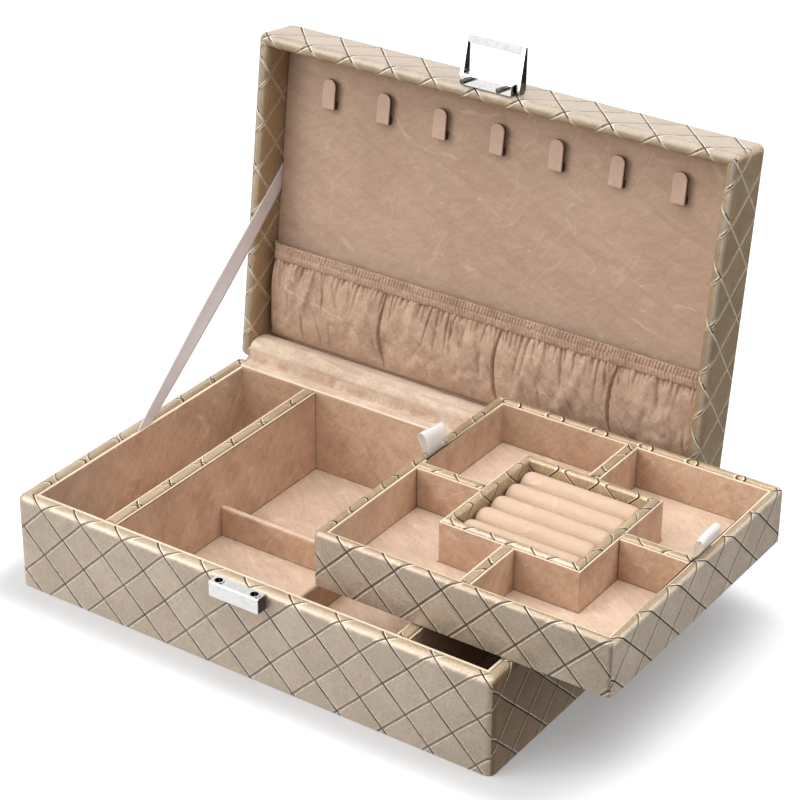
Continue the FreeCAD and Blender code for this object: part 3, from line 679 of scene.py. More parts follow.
@dataclass(frozen=True)
class PressedBoard:
    """Fibreboard of the walls, with its chips and dusty pores."""

    name: str
    colour: Colour = (0.33, 0.24, 0.16)
    light: Colour = (0.50, 0.39, 0.27)

    def build(self) -> Material:
        """Makes the material.

        Returns:
            The board.
        """
        g = Graph(bpy.data.materials.new(self.name))
        place = g.place
        fibres = g.cloud(g.stretched(place, (1.0, 1.0, 3.0), (0.0, 0.0, 35.0)), 700.0, 4.0, 0.7, 0.5)
        chips = g.cloud(place, 160.0, 3.0, 0.6, 1.0)
        colour = g.blend(self.colour, self.light, (fibres * 0.7 + chips * 0.5).ease(0.3, 0.9))
        normal = g.bumped(fibres * 0.09 + chips * 0.05)
        return g.surface(Base_Color=colour, Roughness=0.82 + (fibres - 0.5) * 0.2, Normal=normal)


@dataclass(frozen=True)
class FlockedPaper:
    """Flocked paper glued on a bottom or along a liner's edge."""

    name: str
    colour: Colour = (0.55, 0.40, 0.29)
    light: Colour = (0.66, 0.51, 0.39)
    speckle: float = 0.6

    def build(self) -> Material:
        """Makes the material.

        Returns:
            The paper.
        """
        g = Graph(bpy.data.materials.new(self.name))
        place = g.place
        flock = g.cloud(place, 1900.0, 3.0, 0.7)
        stains = g.cloud(place, 40.0, 3.0, 0.6, 0.8)
        share = (flock - 0.5) * self.speckle + (stains - 0.5) * 0.9 + 0.5
        colour = g.blend(self.colour, self.light, share.ease(0.0, 1.0))
        normal = g.bumped(flock * 0.05 + stains * 0.08)
        return g.surface(Base_Color=colour, Roughness=0.86 + (flock - 0.5) * 0.2, Normal=normal)


@dataclass(frozen=True)
class StudioWhite:
    """White sweep that keeps a soft shadow and shows as white to the camera and in the metal; its glow is
    weaker near the box, which paints a shadow round it.
    """

    name: str
    colour: Colour = (0.45, 0.45, 0.455)
    bounced: Colour = (0.30, 0.30, 0.30)
    glow: float = 0.19
    shaded: Pair = (0.150, 0.0965)
    sooner: float = 2.2
    clear_from: Pair = (0.014, 0.080)
    clearing: float = 0.55
    mirrored_left: float = 0.92
    mirrored_right: float = 0.10

    def build(self) -> Material:
        """Makes the material.

        Returns:
            The sweep's paint.
        """
        g = Graph(bpy.data.materials.new(self.name))
        x, y, _ = g.split(g.place)
        paper = g.cloud(g.place, 30.0, 2.0)
        camera, glass, mirrored = g.rays("Camera", "Transmission", "Glossy")
        direct = camera.greater(glass)
        full = g.blend(self.colour, tuple(part * 0.985 for part in self.colour), paper)
        tint = g.blend(g.blend(self.bounced, full, direct), (0.02, 0.02, 0.02), mirrored)
        painted = g.node("ShaderNodeBsdfDiffuse", None, {"Color": tint})
        half_x, half_y = self.shaded
        past_x = (x - half_x).greater((-half_x - x) * self.sooner).greater(0.0)
        past_y = (y.size() - half_y).greater(0.0) * self.sooner
        # Painted shadow: the camera sees less glow near the box's footprint and more further out.
        past_painted_shadow = (past_x * past_x + past_y * past_y).power(0.5).ease(*self.clear_from)
        gloss = x.ease(0.0, 0.30).between(self.mirrored_left, self.mirrored_right)
        share = direct * (self.glow + past_painted_shadow * self.clearing) + mirrored * gloss
        lit = g.node("ShaderNodeEmission", None, {"Color": (1.0, 1.0, 1.0, 1.0), "Strength": share})
        both = g.node("ShaderNodeAddShader", None, {0: painted.outputs[0], 1: lit.outputs[0]})
        g.node("ShaderNodeOutputMaterial", None, {"Surface": both.outputs[0]})
        return g.owner


class Palette:
    """Every finish of the box, made once."""

    def __init__(self) -> None:
        """Makes the materials."""
        leather = Lattice((0.03557, 0.03627, -6.167), (0.03742, -0.03719, -3.136))
        # turned: painted shade on the base's right wall and on the lid's right wall and mouth, painted light
        # on the tray's right wall.
        self.base_leather = PressedLeather(
            "base_pressed_leather", Wrapping.AROUND, leather, foot=0.0, colour=(0.455, 0.362, 0.284),
            light=(0.610, 0.505, 0.402), rim=(0.93, 0.91, 0.82), turned=(0.50, 0.39, 0.25),
        ).build()
        tray = Lattice((0.03693, 0.03768, -3.595), (0.03528, -0.03356, -2.841))
        self.tray_leather = PressedLeather(
            "tray_pressed_leather", Wrapping.AROUND, tray, centre=TRAY_CENTRE, half=(86.0, 86.0),
            colour=(0.400, 0.315, 0.240), light=(0.560, 0.460, 0.355), rim=(0.95, 0.88, 0.72),
            turned=(1.40, 1.44, 1.50), grit=1.25, matt=0.40, line=0.90,
        ).build()
        lid = Lattice((0.03654, 0.03241, 0.387), (0.03658, -0.04062, -8.915))
        self.lid_leather = PressedLeather(
            "lid_pressed_leather", Wrapping.OVER_LID, lid,
            rim=(0.77, 0.78, 0.78), turned=(0.87, 0.78, 0.60), painted_groove_highlight=0.75,
        ).build()
        box = Lattice((0.042, 0.040, 0.2), (0.041, -0.042, 0.35))
        self.ring_box_leather = PressedLeather(
            "ring_box_pressed_leather", Wrapping.AROUND, box, centre=TRAY_CENTRE, half=(39.7, 39.7),
            light=(0.690, 0.590, 0.460), rim=(1.0, 0.93, 0.78), grit=1.1, line=0.80,
        ).build()
        self.bar_leather = PressedLeather(
            "cap_pressed_leather", Wrapping.ALONG, rim=(0.94, 0.88, 0.74), grit=1.1, line=0.70
        ).build()
        self.strip_leather = PressedLeather(
            "strip_pressed_leather", Wrapping.ALONG, rim=(0.96, 0.97, 0.97), line=0.60
        ).build()
        self.velvet = BrushedVelvet(
            "liner_velvet", (0.448, 0.286, 0.186), (0.668, 0.464, 0.328), (0.84, 0.65, 0.50), contrast=0.85
        ).build()
        self.floor_velvet = BrushedVelvet(
            "floor_velvet", (0.570, 0.406, 0.296), (0.790, 0.608, 0.474), (0.88, 0.72, 0.58),
            turn_deg=(0.0, 0.0, 55.0), contrast=0.8,
        ).build()
        self.panel_velvet = BrushedVelvet(
            "lid_panel_velvet", (0.390, 0.258, 0.182), (0.535, 0.375, 0.277), (0.66, 0.49, 0.37),
            turn_deg=(0.0, 62.0, 20.0), contrast=0.7,
        ).build()
        self.cloth_velvet = BrushedVelvet(
            "pocket_velvet", (0.372, 0.236, 0.163), (0.580, 0.404, 0.298), (0.76, 0.57, 0.43), contrast=1.0
        ).build()
        self.hinge_velvet = BrushedVelvet(
            "hinge_lining_velvet", (0.500, 0.366, 0.270), (0.720, 0.575, 0.455), (0.80, 0.68, 0.56),
            turn_deg=(0.0, 0.0, 88.0), contrast=1.1, fold_shade_y=95.4,
        ).build()
        self.roll_velvet = BrushedVelvet(
            "roll_velvet", (0.545, 0.385, 0.272), (0.680, 0.505, 0.378), (0.78, 0.60, 0.47),
            turn_deg=(0.0, 0.0, 88.0), contrast=0.45,
        ).build()
        self.tongue_velvet = BrushedVelvet(
            "tongue_velvet", (0.490, 0.335, 0.250), (0.610, 0.440, 0.340), (0.70, 0.52, 0.42), contrast=0.5
        ).build()
        self.cut_edge, self.seam, self.edge_paper = (
            FlockedPaper(name, colour, light, speckle=0.4).build() for name, colour, light in (
                # Painted shade for the tongues' sides.
                ("tongue_cut_edge", (0.070, 0.036, 0.022), (0.110, 0.060, 0.038)),
                # Painted shade for the crevices where the liners' rounded edges meet.
                ("liner_crevice_painted_shade", (0.100, 0.055, 0.030), (0.150, 0.090, 0.050)),
                ("liner_edge_paper", (0.700, 0.580, 0.430), (0.830, 0.720, 0.560)),
            )
        )
        self.base_paper = FlockedPaper("bottom_flocked_paper").build()
        self.stay_satin = WovenSatin("stay_satin", (0.78, 0.73, 0.74), (0.66, 0.61, 0.62)).build()
        self.loop_satin = WovenSatin(
            "loop_satin", (0.97, 0.97, 0.97), (0.88, 0.88, 0.90), rough=0.24, clear_z=(86.0, 97.0)
        ).build()
        self.metal = PlatedMetal("polished_plating", dark_reflection_ends=True).build()
        self.screw_metal = PlatedMetal("screw_steel", (0.10, 0.095, 0.09), rough=0.30).build()
        # Painted reflection: a near-black copy of the plating for the pins and the ring's rounded edges.
        self.painted_dark_metal = PlatedMetal("pin_painted_reflection_plating", (0.13, 0.125, 0.12)).build()
        self.board = PressedBoard("wall_fibreboard").build()
        self.padding = PressedBoard("lid_padding_felt", (0.72, 0.70, 0.66), (0.84, 0.82, 0.78)).build()


class Bench:
    """Turns meshes into finished pieces."""

    @staticmethod
    def piece(mesh: BMesh, name: str, materials: Sequence[Material]) -> Object:
        """Makes a smoothly shaded object of a mesh at the origin.

        Args:
            mesh: The mesh, used up here.
            name: The piece's name.
            materials: Its materials in order.

        Returns:
            The piece.
        """
        data = bpy.data.meshes.new(name)
        for face in mesh.faces:
            face.smooth = True
        mesh.to_mesh(data)
        mesh.free()
        made = bpy.data.objects.new(name, data)
        bpy.context.scene.collection.objects.link(made)
        for material in materials:
            data.materials.append(material)
        return made

    @staticmethod
    def settle(made: Object) -> None:
        """Applies every modifier of a piece.

        Args:
            made: The piece.
        """
        graph = bpy.context.evaluated_depsgraph_get()
        shaped = made.evaluated_get(graph)
        final = bpy.data.meshes.new_from_object(shaped, preserve_all_data_layers=True, depsgraph=graph)
        made.modifiers.clear()
        made.data = final

    @staticmethod
    def thicken(made: Object, thick_mm: float, offset: float) -> None:
        """Gives a sheet its thickness.

        Args:
            made: The sheet.
            thick_mm: Its thickness.
            offset: -1 to grow against the normals, 0 to grow both ways.
        """
        wall = made.modifiers.new("thickness", "SOLIDIFY")
        wall.thickness = thick_mm * MM
        wall.offset = offset
        Bench.settle(made)

    @staticmethod
    def rounded(made: Object) -> None:
        """Subdivides a piece once into its smooth shape.

        Args:
            made: The piece.
        """
        soft = made.modifiers.new("smooth", "SUBSURF")
        soft.levels = soft.render_levels = 1
        Bench.settle(made)

    @staticmethod
    def bevelled(mesh: BMesh, edges: Sequence[BMEdge], radius_mm: float, segments: int) -> list[BMFace]:
        """Rounds some edges of a mesh.

        Args:
            mesh: The mesh.
            edges: Its edges to round.
            radius_mm: Their radius.
            segments: How many faces each takes.

        Returns:
            The rounded faces.
        """
        return bmesh.ops.bevel(
            mesh, geom=edges, offset=radius_mm * MM, offset_type="OFFSET", affect="EDGES",
            segments=segments, profile=0.5, material=-1, clamp_overlap=True,
        )["faces"]

    @staticmethod
    def even_shading(made: Object) -> None:
        """Keeps wide flat faces flat beside their rounded edges.

        Args:
            made: The piece.
        """
        even = made.modifiers.new("even", "WEIGHTED_NORMAL")
        even.weight = 80
        Bench.settle(made)

    @staticmethod
    def dress(material: Material, *nodes: str) -> None:
        """Gives CAD nodes their finish through their own slots.

        Args:
            material: The finish.
            *nodes: The nodes' names.
        """
        for name in nodes:
            node = frame["nodes"][name]
            if not node.material_slots:
                node.data.materials.append(material)
            for held in node.material_slots:
                held.material = material

    @staticmethod
    def soften(
        name: str,
        node: str,
        radius_mm: float,
        material: Material,
        seam: Material | None = None,
        edge: Material | None = None,
        edge_above_mm: float = 1.0e6,
        outward: Callable[[Vector], bool] | None = None,
    ) -> None:
        """Wraps a CAD node's shape in cloth or metal with rounded edges, from a copy of its mesh.

        The new piece rides with the node's body.

        Args:
            name: The new piece's name.
            node: The CAD node it replaces.
            radius_mm: The radius of its edges.
            material: Its finish.
            seam: The finish of its rounded edges, if they differ: painted shade on the cloth pieces, painted
                dark reflection on the ring.
            edge: The finish of its top edge, if it differs.
            edge_above_mm: The height above which a face that looks up is top edge.
            outward: Whether a corner at a place, in millimetres, turns outward and keeps its cloth instead of
                the painted shade.
        """
        source = frame["nodes"][node]
        mesh = bmesh.new()
        mesh.from_mesh(source.data)
        bmesh.ops.remove_doubles(mesh, verts=mesh.verts, dist=WELD)
        bmesh.ops.dissolve_limit(mesh, angle_limit=math.radians(FLAT_DEG), verts=mesh.verts, edges=mesh.edges)
        turned = Bench.bevelled(mesh, Bench.sharp(mesh, angle_deg=28), radius_mm, segments=3)
        mesh.normal_update()
        # Rounded edges take the second finish, painted shade or dark reflection, unless they turn outward.
        for face in turned:
            face.material_index = 0 if outward and outward(face.calc_center_median() / MM) else 1
        for face in mesh.faces:
            if face.calc_center_median().z > edge_above_mm * MM:
                face.material_index = 2 if face.normal.z > LOOKS_UP else 0
        made = Bench.piece(mesh, name, [material, seam or material, edge or material])
        Bench.even_shading(made)
        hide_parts(node)
        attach(made, source["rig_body"])

    @staticmethod
    def sharp(mesh: BMesh, angle_deg: float) -> list[BMEdge]:
        """Edges of a mesh that turn by more than an angle."""
        limit = math.radians(angle_deg)
        return [edge for edge in mesh.edges if edge.is_manifold and edge.calc_face_angle() > limit]

    @staticmethod
    def wear(made: Object, node: str, slot: str, body: str | None = None) -> None:
        """Puts a piece in the place of a CAD node.

        Args:
            made: The piece.
            node: The node that it replaces.
            slot: Not used.
            body: The body it rides with, if it has one.
        """
        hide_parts(node)
        if body:
            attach(made, body)

    @staticmethod
    def wrap(node: str, radius_mm: float, *finishes: object) -> None:
        """Covers a CAD node in cloth, as soften does, under its own name."""
        Bench.soften("wrapped_" + node, node, radius_mm, *finishes)

    @staticmethod
    def reshape(mesh: BMesh, rule: Callable[[Vector], Vector]) -> None:
        """Moves every vertex by a rule, in millimetres."""
        for vertex in mesh.verts:
            vertex.co = rule(vertex.co / MM) * MM

    @staticmethod
    def faced(mesh: BMesh, up: float) -> None:
        """Turns a sheet's faces the same way.

        Args:
            mesh: The sheet.
            up: 1 where they look up, -1 where they look down.
        """
        bmesh.ops.recalc_face_normals(mesh, faces=mesh.faces)
        mesh.normal_update()
        if sum(face.normal.z for face in mesh.faces) * up < 0:
            bmesh.ops.reverse_faces(mesh, faces=mesh.faces)

    @staticmethod
    def strip(path: Sequence[Pair], start_x: float, end_x: float, pieces: int) -> BMesh:
        """Sheet along X over a path in the YZ plane.

        Args:
            path: The path, in millimetres.
            start_x: Where the sheet starts.
            end_x: Where it ends.
            pieces: How many pieces it has along X.

        Returns:
            The sheet's mesh.
        """
        mesh, rows = bmesh.new(), len(path) - 1
        bmesh.ops.create_grid(mesh, x_segments=pieces, y_segments=rows, size=0.5)
        for vertex in mesh.verts:
            y, z = path[round((vertex.co.y + 0.5) * rows)]
            vertex.co = Vector((start_x + (end_x - start_x) * (vertex.co.x + 0.5), y, z)) * MM
        return mesh


class Smoothed:
    """A path through a few points, evened out by corner cutting."""

    def __init__(self, corners: Sequence[Pair], rounds: int) -> None:
        """Cuts the corners.

        Args:
            corners: The path's points.
            rounds: How many times each corner is cut.
        """
        points = [Vector(point) for point in corners]
        for _ in range(rounds):
            cut = [points[0]]
            for a, b in zip(points, points[1:]):
                cut += [a.lerp(b, 0.25), a.lerp(b, 0.75)]
            points = cut + [points[-1]]
        self.points: list[Pair] = [(point.x, point.y) for point in points]

    def spaced(self, count: int) -> list[Pair]:
        """The path as evenly spaced points.

        Args:
            count: How many points.

        Returns:
            The points.
        """
        lengths = [0.0]
        for a, b in zip(self.points, self.points[1:]):
            lengths.append(lengths[-1] + math.dist(a, b))
        found, at = [], 0
        for i in range(count):
            target = lengths[-1] * i / (count - 1)
            while at < len(lengths) - 2 and lengths[at + 1] < target:
                at += 1
            run = max(lengths[at + 1] - lengths[at], 1e-9)
            share = min(1.0, (target - lengths[at]) / run)
            a, b = self.points[at], self.points[at + 1]
            found.append((a[0] + (b[0] - a[0]) * share, a[1] + (b[1] - a[1]) * share))
        return found


class Stuffing:
    """Swells a closed cloth shell with air pressure, and keeps it near its pattern."""

    def __init__(self, voxel_mm: float, pressure: float, frames: int, most_mm: float) -> None:
        """Sets how it swells.

        Args:
            voxel_mm: Size of the cloth's even faces.
            pressure: Air pressure inside.
            frames: How long it swells.
            most_mm: The furthest that a point may move.
        """
        self.voxel = voxel_mm * MM
        self.pressure = pressure
        self.frames = frames
        self.most = most_mm * MM

    def fill(self, made: Object) -> None:
        """Remeshes and swells a piece, and applies the result.

        Args:
            made: The closed shell.
        """
        even = made.modifiers.new("even", "REMESH")
        even.mode = "VOXEL"
        even.voxel_size = self.voxel
        Bench.settle(made)
        before = [vertex.co.copy() for vertex in made.data.vertices]
        cloth = made.modifiers.new("stuffing", "CLOTH")
        held = cloth.settings
        held.quality = 6
        held.mass = 0.3
        held.tension_stiffness = held.compression_stiffness = 12.0
        held.bending_stiffness = 0.6
        held.use_pressure = True
        held.uniform_pressure_force = self.pressure
        held.effector_weights.gravity = 0.0
        cloth.point_cache.frame_start = 1
        cloth.point_cache.frame_end = self.frames
        scene = bpy.context.scene
        for number in range(1, self.frames + 1):
            scene.frame_set(number)
        after = made.evaluated_get(bpy.context.evaluated_depsgraph_get()).data.vertices
        moved = []
        for start, vertex in zip(before, after):
            way = vertex.co - start
            moved.append(start + way * min(1.0, self.most / max(way.length, 1e-9)))
        made.modifiers.clear()
        for vertex, place in zip(made.data.vertices, moved):
            vertex.co = place
        scene.frame_set(1)


@dataclass
class BaseBox:
    """The box body: leather shell, velvet liners, dividers and bottom."""

    liner_edge: float = 54.0
    cap_edge: float = 22.0
    wall_radius: float = 0.7
    floor_radius: float = 0.45
    low_radius: float = 0.4

    def build(self, looks: Palette) -> int:
        """Dresses the body and wraps its liners.

        Args:
            looks: The finishes.

        Returns:
            How many new pieces it made.
        """
        Bench.dress(looks.base_leather, "base_leather_wrap")
        Bench.dress(looks.bar_leather, "left_divider_cap", "right_divider_cap")
        Bench.dress(looks.board, *boards("base", "bottom"), "left_divider_board", "right_divider_board")
        Bench.dress(looks.base_paper, "base_bottom_cover")
        walls, low = ("base_wall_liners", "divider_liners"), ("low_cross_divider", "low_front_divider")
        # The second finish, on the liners' rounded edges, is painted shade in the crevices.
        velvet = (looks.velvet, looks.seam)
        for node in walls:
            Bench.wrap(node, self.wall_radius, *velvet, looks.edge_paper, self.liner_edge)
        Bench.wrap("base_floor_liners", self.floor_radius, looks.floor_velvet, looks.seam)
        for node in low:
            Bench.wrap(node, self.low_radius, *velvet, looks.floor_velvet, self.cap_edge)
        return len(walls) + len(low) + 1


@dataclass
class HingeCloth:
    """Velvet lining over the hinge gap, and the leather strip outside it."""

    half_length: float = 142.0
    strip_half: float = 146.0
    pieces: int = 150
    thick: float = 1.1
    strip_thick: float = 0.9
    strip_edge: float = 0.28
    back: float = 97.0
    front_edge: float = 88.3
    front_top: float = 56.5

    def build(self, looks: Palette) -> int:
        """Makes the lining and the strip.

        Args:
            looks: The finishes.

        Returns:
            How many pieces it made.
        """
        self.lining(looks)
        self.strip(looks)
        return 2

    def lining(self, looks: Palette) -> None:
        """Padded velvet with long creases, bent with the lid.

        Args:
            looks: The finishes.
        """
        on_base = [(87.4, 55.85), (91.5, 55.95), (94.9, 55.95)]
        on_lid = [(95.45, 55.15), (92.7, 55.3), (87.6, 55.7), (85.6, 58.8), (84.6, 63.1), (84.7, 69.3)]
        on_lid.append((87.3, 75.7))
        path = Smoothed(on_base + [SWING.opened(*point) for point in on_lid], 3).spaced(44)
        mesh = Bench.strip(path, -self.half_length, self.half_length, self.pieces)
        Bench.faced(mesh, 1.0)
        mesh.normal_update()
        for vertex in mesh.verts:
            x, y, z = vertex.co / MM
            along = waviness(x / 85.0, y / 4.0, z / 2.8) * 0.55
            fine = waviness(x / 26.0, y / 2.2, z / 1.8 + 7.0) * 0.16
            fine -= 0.55 * creasing(x / 60.0, y / 5.2, z / 4.2 + 3.0, 0.10)
            edge = min(1.0, (self.half_length - abs(x)) / 3.0)
            rim = 0.25 + 0.75 * min(1.0, max(0.0, (y - 95.5) / 4.0))
            vertex.co += vertex.normal * (along + fine - 0.3) * edge * rim * MM
        made = Bench.piece(mesh, "velvet_hinge_lining", [looks.hinge_velvet, looks.edge_paper])
        Bench.thicken(made, self.thick, -1.0)
        # Painted highlight: the lining's front edge takes the cream edge paper.
        for face in made.data.polygons:
            if face.center.y < self.front_edge * MM and face.center.z < self.front_top * MM:
                face.material_index = 1
        Bench.wear(made, "hinge_lining", "velvet")
        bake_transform(made)

    def strip(self, looks: Palette) -> None:
        """Leather strip glued across the back of the hinge.

        Args:
            looks: The finishes.
        """
        back = self.back
        bend = [
            (back, 41.2), (back, 51.5), (back + 0.4, 53.2), (back + 1.6, 54.5),
            SWING.opened(back + 0.1, 60.2), SWING.opened(back + 0.1, 71.5),
        ]
        mesh = Bench.strip(Smoothed(bend, 2).spaced(26), -self.strip_half, self.strip_half, 60)
        bmesh.ops.recalc_face_normals(mesh, faces=mesh.faces)
        made = Bench.piece(mesh, "leather_hinge_strip", [looks.strip_leather])
        Bench.thicken(made, self.strip_thick, 0.0)
        edge = made.modifiers.new("edges", "BEVEL")
        edge.width = self.strip_edge * MM
        edge.segments = 2
        edge.limit_method = "ANGLE"
        Bench.settle(made)
        Bench.wear(made, "hinge_leather_strip", "champagne_leather")
        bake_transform(made)


@dataclass
class RibbonStay:
    """Satin ribbon that holds the lid on its left side."""

    x: float = -142.1
    half_width: float = 6.0
    top: float = 54.5
    tuck: float = 9.0
    lid_y: Pair = (-20.25, -4.55)
    lid_z: float = 78.9
    thick: float = 0.35
    turn: float = 0.34
    rows: int = 96
    columns: int = 8
    tucked_rows: float = 5.5

    def build(self, looks: Palette) -> int:
        """Makes the ribbon.

        Args:
            looks: The finishes.

        Returns:
            How many pieces it made.
        """
        mesh = bmesh.new()
        bmesh.ops.create_grid(mesh, x_segments=self.columns, y_segments=self.rows, size=0.5)
        held = self.tucked_rows / self.rows
        far = [Vector(SWING.opened(y, self.lid_z)) for y in self.lid_y]
        near = [Vector((-self.half_width, self.top)), Vector((self.half_width, self.top))]
        for vertex in mesh.verts:
            across, along = vertex.co.x + 0.5, vertex.co.y + 0.5
            side = self.half_width * (2.0 * across - 1.0)
            if along < held:
                place = Vector((side, self.top - self.tuck * (1.0 - along / held)))
                lean = 0.0
            else:
                way = (along - held) / (1.0 - held)
                place = near[0].lerp(far[0], way).lerp(near[1].lerp(far[1], way), across)
                free = math.sin(math.pi * way)
                cup = (2.0 * across - 1.0) ** 2
                turn = self.turn * free * (1.0 - way) ** 0.5
                place.x = place.x - side + side * math.cos(turn)
                lean = side * math.sin(turn)
                lean += free * (0.35 * cup - 0.20) + 0.22 * free * math.sin(9.0 * way + 2.0 * across)
            vertex.co = Vector((self.x + lean, place.x, place.y)) * MM
        bmesh.ops.recalc_face_normals(mesh, faces=mesh.faces)
        made = Bench.piece(mesh, "satin_stay_ribbon", [looks.stay_satin])
        Bench.thicken(made, self.thick, 0.0)
        Bench.wear(made, "stay_ribbon", "satin")
        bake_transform(made)
        return 1


@dataclass
class NecklaceHooks:
    """Row of velvet tongues that stand off the lid's panel."""

    count: int = 7
    pitch: float = 37.0
    width: float = 8.5
    tip_y: float = -75.0
    length: float = 17.3
    foot: float = 4.0
    gap: float = 1.8
    thick: float = 2.2
    panel: float = LID_PANEL_Z

    def build(self, looks: Palette) -> int:
        """Makes the tongues.

        Args:
            looks: The finishes.

        Returns:
            How many pieces it made.
        """
        whole = bmesh.new()
        for number in range(self.count):
            self.tongue(whole, (number - (self.count - 1) / 2) * self.pitch, number)
        whole.transform(SWING.matrix())
        made = Bench.piece(whole, "velvet_necklace_hooks", [looks.tongue_velvet, looks.cut_edge])
        Bench.even_shading(made)
        Bench.wear(made, "necklace_hooks", "velvet", "lid")
        return 1

    def tongue(self, whole: BMesh, x: float, number: int) -> None:
        """Adds one tongue with a round tip, soft edges and a foot on the panel.

        Args:
            whole: The mesh that takes it.
            x: Its middle across the lid.
            number: Its place in the row.
        """
        mesh = bmesh.new()
        bmesh.ops.create_cube(mesh, size=1.0)
        bmesh.ops.scale(mesh, vec=Vector((self.width, self.length, self.thick)) * MM, verts=mesh.verts)
        tip = [e for e in mesh.edges if abs(e.verts[0].co.z - e.verts[1].co.z) > 1e-6 and e.verts[0].co.y < 0]
        Bench.bevelled(mesh, tip, self.width * 0.46, segments=9)
        Bench.bevelled(mesh, Bench.sharp(mesh, angle_deg=40), self.thick * 0.3, segments=4)
        block = bmesh.new()
        bmesh.ops.create_cube(block, size=1.0)
        tall = self.gap + self.thick / 2
        lift = (self.length - self.foot) / 2 - 0.15
        bmesh.ops.scale(block, vec=Vector((self.width * 0.96, self.foot, tall)) * MM, verts=block.verts)
        bmesh.ops.translate(block, vec=Vector((0.0, lift, tall / 2)) * MM, verts=block.verts)
        order = Vector((1.0, 7.3, 53.1))
        for part in (mesh, block):
            middle = Vector((x, self.tip_y + self.length / 2, self.panel - self.gap - self.thick / 2))
            tilt = Matrix.Rotation(math.radians(0.8 * math.sin(2.7 * number)), 4, "Z")
            bmesh.ops.rotate(part, matrix=tilt, verts=part.verts)
            bmesh.ops.translate(part, vec=middle * MM, verts=part.verts)
            held = bpy.data.meshes.new("tongue_part")
            # Painted shade: the tongue's sides take the dark second finish.
            for face in part.faces:
                face.material_index = 1 if abs(face.normal.z) < 0.5 else 0
            part.faces.sort(key=lambda face: face.calc_center_median().dot(order))
            part.to_mesh(held)
            part.free()
            whole.from_mesh(held)
            bpy.data.meshes.remove(held)


